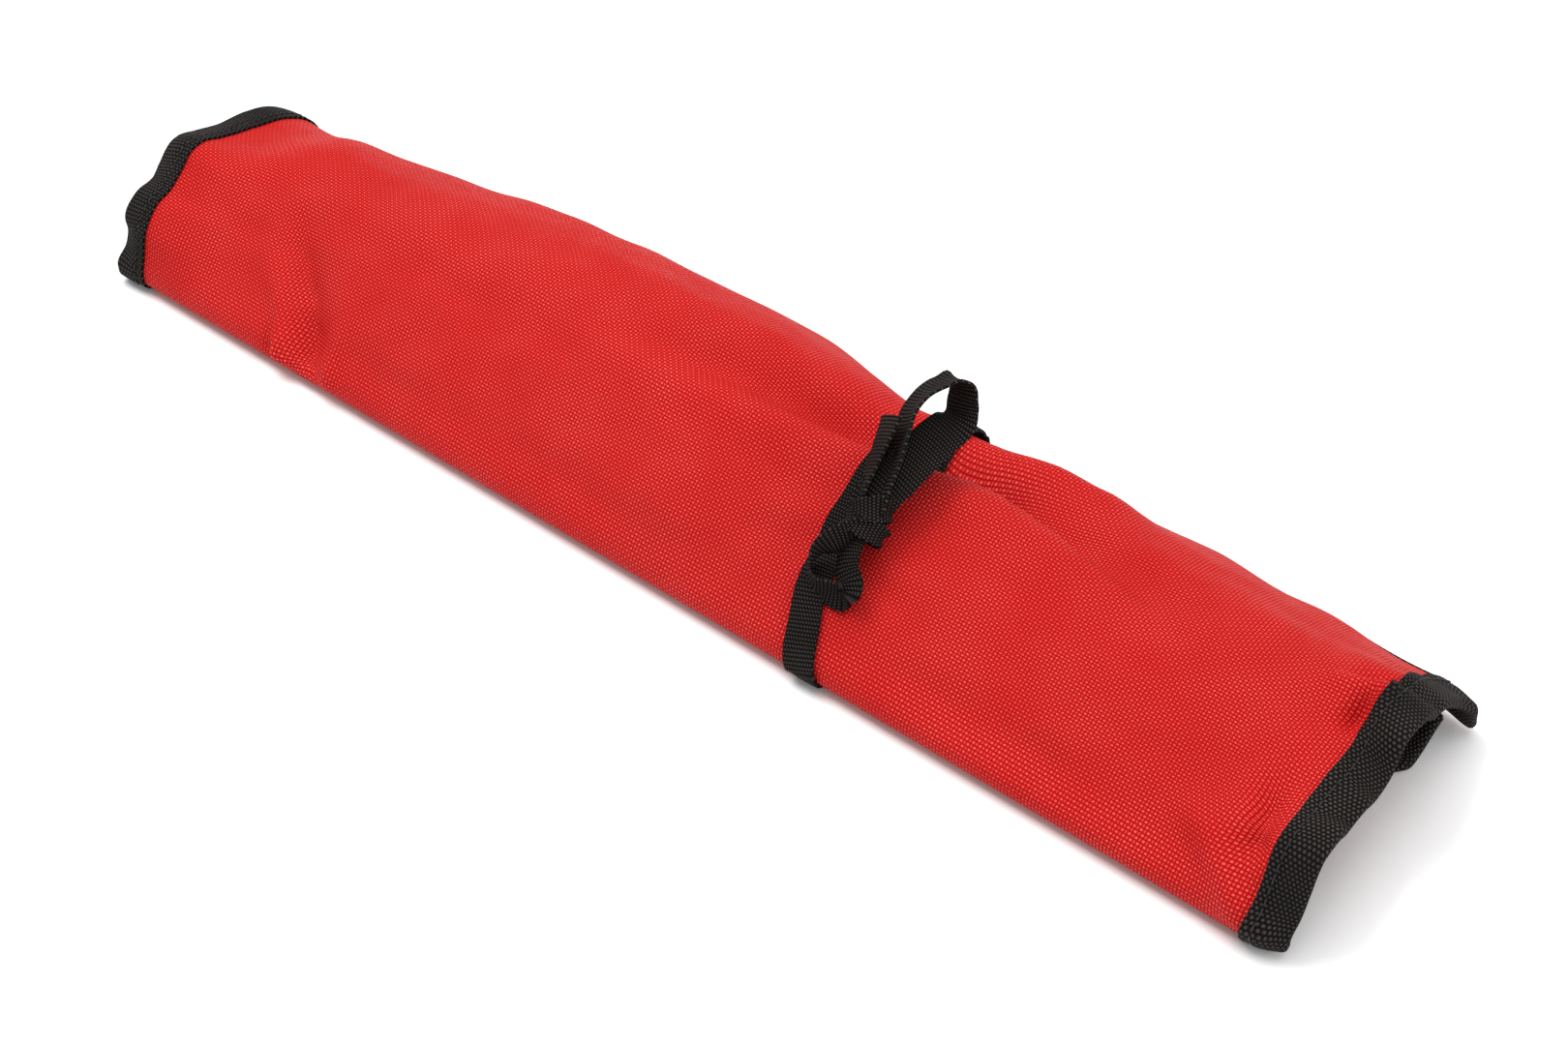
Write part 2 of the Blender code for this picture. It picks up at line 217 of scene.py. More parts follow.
class NodeKit:
    """Short ways to add nodes to one tree."""

    def __init__(self, tree: bpy.types.NodeTree) -> None:
        """Keep the tree that nodes are added to."""
        self.tree = tree

    def add(self, kind: str, **settings: object) -> bpy.types.Node:
        """Add one node and set its properties."""
        node = self.tree.nodes.new(kind)
        for key, value in settings.items():
            setattr(node, key, value)
        return node

    def feed(self, socket: bpy.types.NodeSocket, value: object) -> None:
        """Link a socket to an output, or set it to a number or colour."""
        if isinstance(value, bpy.types.NodeSocket):
            self.tree.links.new(value, socket)
        elif value is not None:
            socket.default_value = value

    def maths(self, operation: str, *values: object) -> bpy.types.NodeSocket:
        """One Math node."""
        node = self.add("ShaderNodeMath", operation=operation)
        for socket, value in zip(node.inputs, values):
            self.feed(socket, value)
        return node.outputs[0]

    def blend(self, factor: object, first: object, second: object) -> bpy.types.NodeSocket:
        """Mix two colours."""
        node = self.add("ShaderNodeMix", data_type="RGBA")
        self.feed(node.inputs["Factor"], factor)
        self.feed(node.inputs[6], first)
        self.feed(node.inputs[7], second)
        return node.outputs[2]

    def noise(self, vector: object, scale: float, detail: float = 3.0) -> bpy.types.NodeSocket:
        """Noise value."""
        node = self.add("ShaderNodeTexNoise")
        self.feed(node.inputs["Vector"], vector)
        node.inputs["Scale"].default_value = scale
        node.inputs["Detail"].default_value = detail
        return node.outputs["Fac"]

    def span(self, value: object, low: float, high: float, to_low: float,
             to_high: float) -> bpy.types.NodeSocket:
        """Map one range of a value to another, and clamp it."""
        node = self.add("ShaderNodeMapRange")
        for socket, given in zip(node.inputs, (value, low, high, to_low, to_high)):
            self.feed(socket, given)
        return node.outputs[0]


def new_group(name: str, numbers: dict[str, float], outputs: tuple[str, ...]
              ) -> tuple[bpy.types.NodeTree, NodeKit, bpy.types.Node, bpy.types.Node]:
    """Start a shader node group with a Vector input, number inputs and value outputs.

    Args:
        name: The group's name.
        numbers: Each number input and its usual value.
        outputs: The value outputs.

    Returns:
        The tree, a kit for it, its input node and its output node.
    """
    tree = bpy.data.node_groups.new(name, "ShaderNodeTree")
    tree.interface.new_socket("Vector", in_out="INPUT", socket_type="NodeSocketVector")
    for label, usual in numbers.items():
        socket = tree.interface.new_socket(label, in_out="INPUT", socket_type="NodeSocketFloat")
        socket.default_value = usual
    for label in outputs:
        tree.interface.new_socket(label, in_out="OUTPUT", socket_type="NodeSocketFloat")
    kit = NodeKit(tree)
    return tree, kit, kit.add("NodeGroupInput"), kit.add("NodeGroupOutput")


def weave_group() -> bpy.types.NodeTree:
    """Plain weave: yarns that pass over and under each other like a chessboard.

    Returns:
        A group with Height (0 to 1), Over (1 where the lengthwise yarn is on top) and the
        painted-highlight mask, high on the yarn tops, where a highlight is painted into the colour.
    """
    found = bpy.data.node_groups.get("plain_weave")
    if found:
        return found
    tree, kit, come, go = new_group("plain_weave", {"Along": 0.0011, "Round": 0.00097,
                                                    "Wobble": 0.08}, ("Height", "Over", "Crown"))
    wander = kit.add("ShaderNodeTexNoise")
    kit.feed(wander.inputs["Vector"], come.outputs["Vector"])
    wander.inputs["Scale"].default_value = 260.0
    sway = kit.maths("MULTIPLY", kit.maths("SUBTRACT", wander.outputs["Fac"], 0.5),
                     come.outputs["Wobble"])
    split = kit.add("ShaderNodeSeparateXYZ")
    kit.feed(split.inputs[0], come.outputs["Vector"])
    a = kit.maths("ADD", kit.maths("DIVIDE", split.outputs[0], come.outputs["Along"]), sway)
    b = kit.maths("ADD", kit.maths("DIVIDE", split.outputs[1], come.outputs["Round"]), sway)
    turn = kit.maths("FLOORED_MODULO", kit.maths("ADD", kit.maths("FLOOR", a),
                                                 kit.maths("FLOOR", b)), 2.0)
    over = kit.maths("ROUND", turn)
    arch = []
    for place in (a, b):
        middle = kit.maths("SUBTRACT", kit.maths("FRACT", place), 0.5)
        square = kit.maths("MULTIPLY", kit.maths("MULTIPLY", middle, middle), 4.0)
        arch.append((square, kit.maths("MULTIPLY", square, square)))
    (a2, a4), (b2, b4) = arch
    lengthwise = kit.maths("MULTIPLY", kit.maths("SUBTRACT", 1.0, a4), kit.maths("SUBTRACT", 1.0, b2))
    roundwise = kit.maths("MULTIPLY", kit.maths("SUBTRACT", 1.0, a2), kit.maths("SUBTRACT", 1.0, b4))
    height = kit.maths("ADD", kit.maths("MULTIPLY", lengthwise, over),
                       kit.maths("MULTIPLY", roundwise, kit.maths("SUBTRACT", 1.0, over)))
    kit.feed(go.inputs["Height"], height)
    kit.feed(go.inputs["Over"], over)
    # Painted highlight: a mask, high on the yarn tops, for a highlight painted into the colour.
    kit.feed(go.inputs["Crown"], kit.maths("POWER", height, 5.0))
    return tree


def rib_group() -> bpy.types.NodeTree:
    """Narrow woven tape: ribs across it, broken into beads by the lengthwise yarns.

    Returns:
        A group with Height and the painted-highlight mask, both 0 to 1; the mask is high on the bead tops,
        where a highlight is painted into the colour.
    """
    found = bpy.data.node_groups.get("tape_ribs")
    if found:
        return found
    tree, kit, come, go = new_group("tape_ribs", {"Rib": 0.0011, "Bead": 0.0009, "Beading": 0.5},
                                    ("Height", "Crown"))
    split = kit.add("ShaderNodeSeparateXYZ")
    kit.feed(split.inputs[0], come.outputs["Vector"])
    across = kit.maths("DIVIDE", split.outputs[0], come.outputs["Bead"])
    along = kit.maths("DIVIDE", split.outputs[1], come.outputs["Rib"])
    stagger = kit.maths("MULTIPLY", kit.maths("FLOORED_MODULO", kit.maths("FLOOR", along), 2.0), 0.5)
    rib = kit.maths("ABSOLUTE", kit.maths("SINE", kit.maths("MULTIPLY", along, pi)))
    bead = kit.maths("ABSOLUTE", kit.maths("SINE", kit.maths("MULTIPLY",
                                                            kit.maths("ADD", across, stagger), pi)))
    lift = kit.maths("ADD", kit.maths("SUBTRACT", 1.0, come.outputs["Beading"]),
                     kit.maths("MULTIPLY", bead, come.outputs["Beading"]))
    height = kit.maths("MULTIPLY", kit.maths("POWER", rib, 0.7), lift)
    kit.feed(go.inputs["Height"], height)
    # Painted highlight: a mask, high on the bead tops, for a highlight painted into the colour.
    kit.feed(go.inputs["Crown"], kit.maths("POWER", height, 3.0))
    return tree


class Weave(Enum):
    """The ways a textile is woven."""

    PLAIN = "plain"
    RIBBED = "ribbed"


@dataclass(frozen=True)
class Finish:
    """One textile finish.

    Colours are linear. The deep colour is painted shade in the gaps between yarns, and it is also the tone
    that random wear darkens to.
    The brightest colour is a painted highlight on the yarn and bead tops. The weave's two numbers are the
    yarn pitch along and round, or a tape's bead and rib, in metres.
    """

    name: str
    slot: str
    weave: Weave
    # deep: painted shade in the gaps between yarns, also the tone that random wear darkens to
    deep: Triple
    face: Triple
    # painted highlight colour for the tops of the yarns and beads
    painted_highlight_colour: Triple
    pitch: tuple[float, float]
    relief: float
    roughness: float = 0.6
    sheen: float = 0.1
    wear: float = 0.2
    beading: float = 0.5
    gloss: float = 0.22

    def material(self) -> bpy.types.Material:
        """The procedural material, made once.

        Returns:
            A material that reads the piece's own UV map, in metres.
        """
        found = bpy.data.materials.get(self.name)
        if found:
            return found
        made = bpy.data.materials.new(self.name)
        made.use_nodes = True
        kit = NodeKit(made.node_tree)
        shader = made.node_tree.nodes["Principled BSDF"]
        place = kit.add("ShaderNodeTexCoord")
        cloth, room = place.outputs["UV"], place.outputs["Object"]
        pattern = kit.add("ShaderNodeGroup")
        pattern.node_tree = weave_group() if self.weave is Weave.PLAIN else rib_group()
        kit.feed(pattern.inputs["Vector"], cloth)
        if self.weave is Weave.PLAIN:
            pattern.inputs["Along"].default_value, pattern.inputs["Round"].default_value = self.pitch
        else:
            pattern.inputs["Bead"].default_value, pattern.inputs["Rib"].default_value = self.pitch
            pattern.inputs["Beading"].default_value = self.beading
        # Painted shade: where the weave is low, between the yarns, the colour darkens to the deep colour.
        yarn = kit.blend(kit.span(pattern.outputs["Height"], 0.05, 0.6, 0.0, 1.0),
                         (*self.deep, 1), (*self.face, 1))
        # Painted highlight: the highlight colour is painted on the yarn and bead tops, in random patches,
        # and more strongly on the lengthwise yarns.
        highlight_patches = kit.span(kit.noise(room, 45.0, 4.0), 0.35, 0.7, 0.5, 1.0)
        painted_highlight_mask = kit.maths("MULTIPLY", pattern.outputs["Crown"], highlight_patches)
        if self.weave is Weave.PLAIN:
            side = kit.span(pattern.outputs["Over"], 0.0, 1.0, 0.35, 1.0)
            painted_highlight_mask = kit.maths("MULTIPLY", painted_highlight_mask, side)
        colour = kit.blend(painted_highlight_mask, yarn, (*self.painted_highlight_colour, 1))
        # Random wear: noise patches darken the colour towards the deep colour.
        dull = kit.span(kit.noise(room, 18.0, 5.0), 0.38, 0.66, 0.0, self.wear)
        colour = kit.blend(dull, colour, (*self.deep, 1))
        kit.feed(shader.inputs["Base Color"], colour)
        rough = kit.maths("ADD", kit.span(kit.noise(room, 900.0, 2.0), 0.3, 0.7, -0.07, 0.07),
                          kit.span(pattern.outputs["Height"], 0.0, 1.0, self.roughness + 0.15,
                                   self.roughness))
        kit.feed(shader.inputs["Roughness"], rough)
        bump = kit.add("ShaderNodeBump")
        bump.inputs["Distance"].default_value = self.relief
        bump.inputs["Strength"].default_value = 0.9
        fuzz = kit.maths("MULTIPLY", kit.noise(room, 3500.0, 2.0), 0.25)
        kit.feed(bump.inputs["Height"], kit.maths("ADD", pattern.outputs["Height"], fuzz))
        kit.feed(shader.inputs["Normal"], bump.outputs["Normal"])
        shader.inputs["Metallic"].default_value = 0.0
        shader.inputs["Specular IOR Level"].default_value = self.gloss
        shader.inputs["Sheen Weight"].default_value = self.sheen
        shader.inputs["Sheen Roughness"].default_value = 0.45
        return made


# In each finish, the deep colour is painted shade in the weave's gaps, and the brightest colour is a
# painted highlight on the yarn and bead tops.
RED_CLOTH = Finish(
    "red_coated_cloth", "red_cloth", Weave.PLAIN,
    deep=(0.26, 0.0012, 0.0014), face=(0.560, 0.0042, 0.0040), painted_highlight_colour=(0.94, 0.125, 0.105),
    pitch=(0.00110, 0.00097), relief=0.00026, roughness=0.58, sheen=0.0, wear=0.08, gloss=0.12)
BINDING_TAPE = Finish(
    "binding_tape", "black_binding", Weave.RIBBED,
    deep=(0.0014, 0.0012, 0.0012), face=(0.0066, 0.0054, 0.0052), painted_highlight_colour=(0.098, 0.080, 0.073),
    pitch=(0.00125, 0.00105), relief=0.00060, roughness=0.74, sheen=0.0, wear=0.3,
    beading=0.85, gloss=0.10)
TIE_TAPE = Finish(
    "tie_tape", "black_tie_tape", Weave.RIBBED,
    deep=(0.0012, 0.0011, 0.0011), face=(0.0052, 0.0043, 0.0041), painted_highlight_colour=(0.088, 0.072, 0.066),
    pitch=(0.00090, 0.00115), relief=0.00062, roughness=0.74, sheen=0.0, wear=0.25,
    beading=0.74, gloss=0.08)
PULL_TAPE = Finish(
    "pull_tape", "black_pull_tape", Weave.RIBBED,
    deep=(0.006, 0.005, 0.006), face=(0.022, 0.021, 0.022), painted_highlight_colour=(0.060, 0.056, 0.058),
    pitch=(0.0010, 0.0013), relief=0.00022, roughness=0.75, beading=0.4)
THREAD = Finish(
    "sewing_thread", "black_thread", Weave.RIBBED,
    deep=(0.005, 0.005, 0.005), face=(0.020, 0.019, 0.020), painted_highlight_colour=(0.050, 0.047, 0.048),
    pitch=(0.0004, 0.0003), relief=0.00005, roughness=0.5)
GLASS_FIBRE = Finish(
    "woven_glass_fibre", "glass_fibre_cloth", Weave.PLAIN,
    deep=(0.32, 0.305, 0.25), face=(0.56, 0.535, 0.46), painted_highlight_colour=(0.70, 0.67, 0.59),
    pitch=(0.0012, 0.0012), relief=0.00012, roughness=0.42, sheen=0.1, wear=0.15)


# ---- the rolled form -----------------------------------------------------------------------

# At each place along the roll: shoulder, slope, ridge and back of the flap as (y, z), then
# the back edge's y. Millimetres; the keys are in metres.
STATIONS: dict[float, tuple] = {
    -0.225: ((8, 16), (24, 30), (50, 38), (74, 21), 83),
    -0.110: ((8, 17), (26, 32), (66, 43), (94, 22), 101),
    0.020: ((7, 17), (25, 32), (70, 43), (98, 22), 105),
    0.063: ((8, 16), (27, 28), (68, 34), (92, 19), 99),
    0.115: ((10, 13), (30, 25), (78, 31.5), (103, 15.5), 111),
    0.225: ((9, 13), (29, 23), (76, 27), (100, 13), 108),
}


def station(s: float) -> np.ndarray:
    """The nine numbers of the section at s, read between the stations, in metres."""
    rows = [[c for point in row[:4] for c in point] + [row[4]] for row in STATIONS.values()]
    return through(np.array(list(STATIONS)), np.array(rows), np.array([s]))[0] / 1000


# The wavy outlines of the two ends, (y, z) from the front fold to the back foot
FAR_EDGE = ((1.5, 5), (1.5, 7), (5, 11), (7, 17), (6.5, 22), (12, 27), (20, 28.5), (24, 32),
            (30, 36.5), (39, 35), (50, 32.5), (61, 31.5), (71, 28), (80, 20), (82.5, 11), (83, 3.6))
FAR_INNER = ((1.5, 5), (1.5, 8), (2.5, 13), (5, 22), (10, 28), (17, 31), (23, 35), (28, 39),
             (33, 39.5), (41, 37), (55, 34), (70, 29), (81, 20), (84, 11), (85, 3.6))
NEAR_EDGE = ((1.5, 5), (1.5, 7), (5, 12), (9, 19), (12, 24), (18, 28), (28, 28.5), (42, 25),
             (50, 27), (57, 34.5), (66, 34), (80, 28), (93, 18.5), (102, 9.5), (106, 3.6))
NEAR_INNER = ((1.5, 5), (1.5, 8), (3.5, 14), (7, 22), (12, 28), (24, 30), (38, 29), (52, 29.5),
              (60, 33), (66, 36), (76, 34), (89, 25.5), (99, 17), (106, 9), (109, 3.6))


@dataclass(frozen=True)
class Fold:
    """A crease (positive depth) or ridge (negative) along a line on the flap, in millimetres.

    The line's points are (x, round from the front fold). Front and back are the fold's
    half-widths on its two sides, and power makes it round (2) or sharp (near 1).
    """

    line: tuple[tuple[float, float], ...]
    depth: tuple[float, ...]
    front: float
    back: float
    power: float = 2.0

    def press(self, x: np.ndarray, round_way: np.ndarray) -> np.ndarray:
        """How far the fold pushes each place inwards.

        Args:
            x: Places along the roll, in millimetres.
            round_way: Places round it, in millimetres.

        Returns:
            Millimetres inwards.
        """
        best = np.full(x.shape, 1e9)
        deep, side = np.zeros(x.shape), np.zeros(x.shape)
        for k, ((xa, wa), (xb, wb)) in enumerate(zip(self.line, self.line[1:])):
            dx, dw = xb - xa, wb - wa
            t = np.clip(((x - xa) * dx + (round_way - wa) * dw) / (dx * dx + dw * dw), 0, 1)
            gap_x, gap_w = x - xa - t * dx, round_way - wa - t * dw
            gap = np.hypot(gap_x, gap_w)
            near = gap < best
            best = np.where(near, gap, best)
            ease = t * t * (3 - 2 * t)
            deep = np.where(near, self.depth[k] * (1 - ease) + self.depth[k + 1] * ease, deep)
            side = np.where(near, dx * gap_w - dw * gap_x, side)
        width = np.where(side > 0, self.back, self.front)
        return deep * np.exp(-((best / width) ** self.power))


FOLDS: tuple[Fold, ...] = (
    # the long valley that the tie pulls in, left and right of it
    Fold(((-60, 60), (-30, 62), (-8, 64), (19, 68), (42, 72), (64, 78)),
         (0, 2.8, 6.2, 8.4, 10.4, 11.5), 5.2, 12.5, 2.0),
    Fold(((-60, 50), (-8, 53), (19, 56), (42, 59), (62, 64)), (0, -1.6, -2.4, -2.6, -1.6), 9.0, 7.0),
    Fold(((64, 79), (82, 80), (103, 77), (130, 70), (160, 60)), (11.5, 11.2, 8.8, 4.4, 0), 4.4, 11.5, 2.0),
    Fold(((66, 66), (85, 67), (105, 64), (130, 58)), (-1.6, -2.6, -2.0, 0), 8.0, 7.0),
    Fold(((34, 100), (54, 98), (66, 97), (84, 98), (102, 99), (124, 101)),
         (0, -4.2, -5.5, -5.9, -3.7, 0), 8.5, 10.5),
    # puckers fanning from the tie on the front slope
    Fold(((58, 34), (40, 30), (20, 22)), (2.0, 0.9, 0), 5.0, 6.0),
    Fold(((66, 30), (84, 28), (104, 20)), (1.6, 0.8, 0), 5.0, 6.0),
    # the crosswise groove and pinch near the left end
    Fold(((-170, 50), (-161, 35), (-146, 21), (-138, 8), (-134, 1)),
         (0, 2.8, 4.6, 5.4, 3.6), 4.6, 6.5, 1.6),
    Fold(((-176, 33), (-158, 18), (-149, 6), (-147, 1)), (0, -2.2, -3.2, -3.0), 4.6, 4.6),
    Fold(((-157, 15), (-154, 8), (-152, 1)), (0, 2.2, 3.0), 2.2, 2.2, 1.5),
    Fold(((-130, 24), (-128, 12), (-127, 1)), (0, -2.0, -2.4), 4.0, 4.0),
    Fold(((-110, 33), (-101, 26), (-93, 17)), (0, 1.9, 0), 7.0, 8.0),
    Fold(((-188, 40), (-180, 33), (-176, 24)), (0, 1.0, 0), 7.0, 8.0),
    # the low shoulder along the right half, and the ridge along the left
    Fold(((75, 19), (130, 18), (185, 20)), (0, -1.0, 0), 5.0, 6.0),
    Fold(((-219, 47), (-139, 55), (-76, 60), (-29, 61)), (-1.0, -1.6, -1.2, 0), 9.0, 12.0),
    Fold(((-200, 76), (-140, 84), (-70, 88)), (0, 1.6, 0), 9.0, 12.0),
    Fold(((-60, 34), (-20, 30), (18, 36)), (0, 1.2, 0), 12.0, 12.0),
    Fold(((-98, 58), (-84, 44), (-66, 38)), (0, 1.0, 0), 9.0, 9.0),
    # beside the near binding
    Fold(((176, 24), (193, 17), (206, 8), (214, 3)), (0, -2.8, -3.6, -1.4), 4.5, 4.5),
    Fold(((207, 13), (205, 21), (203, 30), (200, 46)), (0.8, 6.0, 5.4, 0), 4.2, 4.6),
    Fold(((186, 44), (196, 50), (204, 58)), (0, -1.4, 0), 6.0, 6.0),
    Fold(((206, 58), (206, 66), (205, 72)), (0, 6.0, 3.4), 3.2, 3.8),
    Fold(((193, 75), (204, 79), (216, 82)), (0, 3.0, 1.6), 2.0, 3.4, 1.4),
    Fold(((196, 73), (208, 76)), (-0.8, -1.4), 3.0, 2.6),
    Fold(((196, 92), (206, 97), (214, 101)), (0, 1.4, 0.8), 3.0, 4.0, 1.6),
    Fold(((140, 44), (158, 40), (176, 44)), (0, 1.0, 0), 9.0, 9.0),
    # crumples of the near binding
    Fold(((212, 34), (220, 36), (228, 37)), (0.6, 1.6, 1.8), 3.2, 3.6),
    Fold(((212, 46), (220, 45), (228, 44)), (-0.4, -1.4, -1.8), 3.0, 3.4),
    Fold(((213, 22), (221, 24), (228, 26)), (0.0, -1.0, -1.4), 3.0, 3.0),
    Fold(((212, 84), (220, 85), (228, 84)), (0.4, 1.4, 1.6), 3.4, 3.6),
)


class WrapForm:
    """The rolled wrap as a surface over flat cloth.

    s runs along the roll in metres. v runs from -1 at the lower layer's back edge, through 0
    at the front fold, to 1 at the flap's back edge.
    """

    hinge_y = 0.0015
    hinge_z = 0.0050
    front_radius = 0.0045
    lower_z = 0.0017
    reach = 0.011               # how far the lower layer stops short of the flap's back edge
    tie_x = 0.067
    front_push = 0.0022         # the front fold rolls forward over the floor
    tuck = 0.0065               # how far the flap's back edge turns in
    corner_in = 0.0010          # the near front corner, back along the roll
    corner_back = 0.0044        # the near front corner, folded inwards
    tip_out = 0.0028            # the flap's near back corner, out along the roll
    end_in = 0.0125             # the lower layer's near end, back along the roll
    tie_lift = 0.0016           # the lower layer rises over the tie beneath it
    back_curl = 0.0042          # the lower layer's near end curls up at its back
    front_curl = 0.0060         # and in a small wave near the front fold

    def __init__(self, columns: int = 500, rows: int = 600) -> None:
        """Work out the surface, its normals and its true length round on a fine grid.

        Args:
            columns: Samples along the roll.
            rows: Samples round it.
        """
        self.s = np.linspace(-END - 0.004, END + 0.004, columns)
        self.v = np.linspace(-1.0, 1.0, rows)
        flap, lower = self.v >= 0, self.v < 0
        points = np.zeros((columns, rows, 3))
        self.round = np.zeros((columns, rows))
        for i, s in enumerate(self.s):
            outline, length = self.outline(s, self.v[flap])
            points[i, flap, 0] = s - SKEW * self.v[flap] * length
            points[i, flap, 1:] = outline
            self.round[i, flap] = self.v[flap] * length
            under, far = self.underside(s, -self.v[lower])
            points[i, lower] = under
            self.round[i, lower] = -far
        points[:, :, 1] -= self.front_push * np.exp(-(self.round / 0.009) ** 2)
        near_end = smooth((self.s - 0.190) / 0.035)[:, None]
        points[:, :, 0] -= self.corner_in * near_end * np.exp(-(self.round / 0.008) ** 2)
        at_edge = smooth((self.s - 0.2135) / 0.013)[:, None]
        points[:, :, 1] += self.corner_back * at_edge * np.exp(-(self.round / 0.010) ** 2)
        points[:, :, 0] += self.tip_out * near_end * smooth((self.v[None, :] - 0.84) / 0.10)
        self.points = points
        self.normals = self.face_out(points)
        self.points = points - self.normals * self.pressed()[:, :, None]
        self.normals = self.face_out(self.points)

    def outline(self, s: float, u: np.ndarray) -> tuple[np.ndarray, float]:
        """The flap's cross-section at s.

        Args:
            s: Place along the roll.
            u: Places round it, 0 to 1.

        Returns:
            Rows of (y, z), and the whole length round, in metres.
        """
        flat = station(s)
        usual = np.vstack([[self.hinge_y, self.hinge_z], [self.hinge_y, self.hinge_z + 0.002],
                           flat[:8].reshape(4, 2), [flat[8], 0.0036]])
        shaped = self.section(usual, u)
        edge, inner = (NEAR_EDGE, NEAR_INNER) if s > 0 else (FAR_EDGE, FAR_INNER)
        outside = self.section(np.array(edge) / 1000, u)
        inside = self.section(np.array(inner) / 1000, u)
        from_end = END - abs(s)
        tuck = self.tuck * smooth((u - 0.90) / 0.10)
        shaped = shaped + (inside - shaped) * smooth(1 - (from_end - BINDING) / 0.034)
        shaped = shaped + (outside - shaped) * smooth(1 - from_end / BINDING)
        shaped[:, 0] -= tuck * (0.5 + 0.5 * smooth(from_end / 0.03))
        return shaped, float(chord(usual)[-1])

    @staticmethod
    def section(line: np.ndarray, u: np.ndarray) -> np.ndarray:
        """Points at parts of the length of a smooth line."""
        knots = chord(line)
        return through(knots, line, u * knots[-1])

    def underside(self, s: float, u: np.ndarray) -> tuple[np.ndarray, np.ndarray]:
        """The lower layer at s, from the front fold backwards.

        Args:
            s: Place along the roll.
            u: Parts of the lower layer's length.

        Returns:
            The points, and how far round each one is, in metres.
        """
        back = float(station(s)[8]) - self.reach
        turn = self.front_radius * pi / 2
        start = self.hinge_y + self.front_radius
        far = u * (turn + back - start)
        angle = np.clip(far / turn, 0, 1) * pi / 2
        run = np.clip(far - turn, 0, None)
        y = self.hinge_y + self.front_radius * (1 - np.cos(angle)) + run
        z = self.lower_z + (self.hinge_z - self.lower_z) * (1 - np.sin(angle))
        way = run / (back - start)
        x = s - SKEW * y
        over_tie = smooth(1 - (np.abs(x - self.tie_x) - 0.009) / 0.015)
        z = z + self.tie_lift * over_tie * smooth((way - 0.62) / 0.16)
        near = smooth((s - 0.165) / 0.055)
        drawn_in = 0.40 * smooth((y - 0.001) / 0.006) + 0.60 * smooth((y - 0.012) / 0.03)
        drawn_in *= 1 - 0.55 * smooth((y - 0.070) / 0.011)
        x = x - self.end_in * near * drawn_in
        curl = smooth((s - 0.185) / 0.04)
        z = z + curl * (self.back_curl * smooth((way - 0.80) / 0.20) ** 1.5
                        + self.front_curl * np.exp(-((y - 0.017) / 0.006) ** 2))
        return np.column_stack([x, y, z]), far

    def pressed(self) -> np.ndarray:
        """How far the folds and the soft filling push the surface inwards, in metres."""
        x, w = self.points[:, :, 0] * 1000, self.round * 1000
        deep = sum(fold.press(x, w) for fold in FOLDS)
        rng = np.random.default_rng(7)
        soft = np.zeros_like(deep)
        for size, strength in ((62, 0.75), (34, 0.42), (19, 0.20), (11, 0.08)):
            for _ in range(5):
                way = rng.uniform(0, pi)
                phase = rng.uniform(0, 2 * pi)
                length = size * rng.uniform(0.8, 1.25)
                across = x * cos(way) * 0.75 + w * sin(way)
                soft += strength / 2.2 * np.sin(2 * pi * across / length + phase)
        free = smooth((w - 4) / 14) * smooth((END * 1000 - np.abs(self.s[:, None] * 1000)) / 26 + 0.25)
        deep = deep * smooth(w / 4 + 0.25) + soft * free
        tail = smooth((1 - self.v[None, :]) / 0.08)
        return np.where(self.v[None, :] > 0, deep * tail, 0.0) / 1000

    @staticmethod
    def face_out(points: np.ndarray) -> np.ndarray:
        """Unit normals of a grid of points, away from the blanket."""
        normal = np.cross(np.gradient(points, axis=0), np.gradient(points, axis=1))
        return normal / np.linalg.norm(normal, axis=2, keepdims=True)

    def read(self, table: np.ndarray, s: np.ndarray, v: np.ndarray) -> np.ndarray:
        """Read a table of the form between its samples.

        Args:
            table: Values on the form's grid.
            s: Places along the roll.
            v: Places round it.

        Returns:
            One row for each place.
        """
        a = (s - self.s[0]) / (self.s[1] - self.s[0])
        b = (v - self.v[0]) / (self.v[1] - self.v[0])
        i = np.clip(np.floor(a).astype(int), 0, len(self.s) - 2)
        j = np.clip(np.floor(b).astype(int), 0, len(self.v) - 2)
        f, g = a - i, b - j
        if table.ndim == 3:
            f, g = f[:, None], g[:, None]
        return ((table[i, j] * (1 - f) + table[i + 1, j] * f) * (1 - g)
                + (table[i, j + 1] * (1 - f) + table[i + 1, j + 1] * f) * g)

    def lay(self, s: np.ndarray, v: np.ndarray, lift: np.ndarray | float = 0.0) -> np.ndarray:
        """Places on the rolled wrap, in the object's frame.

        Args:
            s: Along the roll, in metres.
            v: Round it, -1 to 1.
            lift: Outwards from the cloth's middle, in metres.

        Returns:
            Rows of points.
        """
        normal = self.read(self.normals, s, v)
        normal /= np.linalg.norm(normal, axis=1, keepdims=True)
        lifted = self.read(self.points, s, v) + normal * np.broadcast_to(lift, s.shape)[:, None]
        return lifted + ORIGIN

    def hang(self, piece: bpy.types.Object, flat: np.ndarray, rolled: np.ndarray) -> None:
        """Bend a piece over the front fold with the flap, and lay it on the form.

        Args:
            piece: A mesh with one vertex for each row.
            flat: Its places as (s, v, 0).
            rolled: Its places on the rolled wrap.
        """
        metres = flat.copy()
        metres[:, 1] = np.where(flat[:, 1] > 0, flat[:, 1] * FLAP_ROUND, flat[:, 1] * LOWER_ROUND)
        metres[:, 2] = 0.0
        set_corners(piece, metres)
        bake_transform(piece)
        set_corners(piece, rolled)


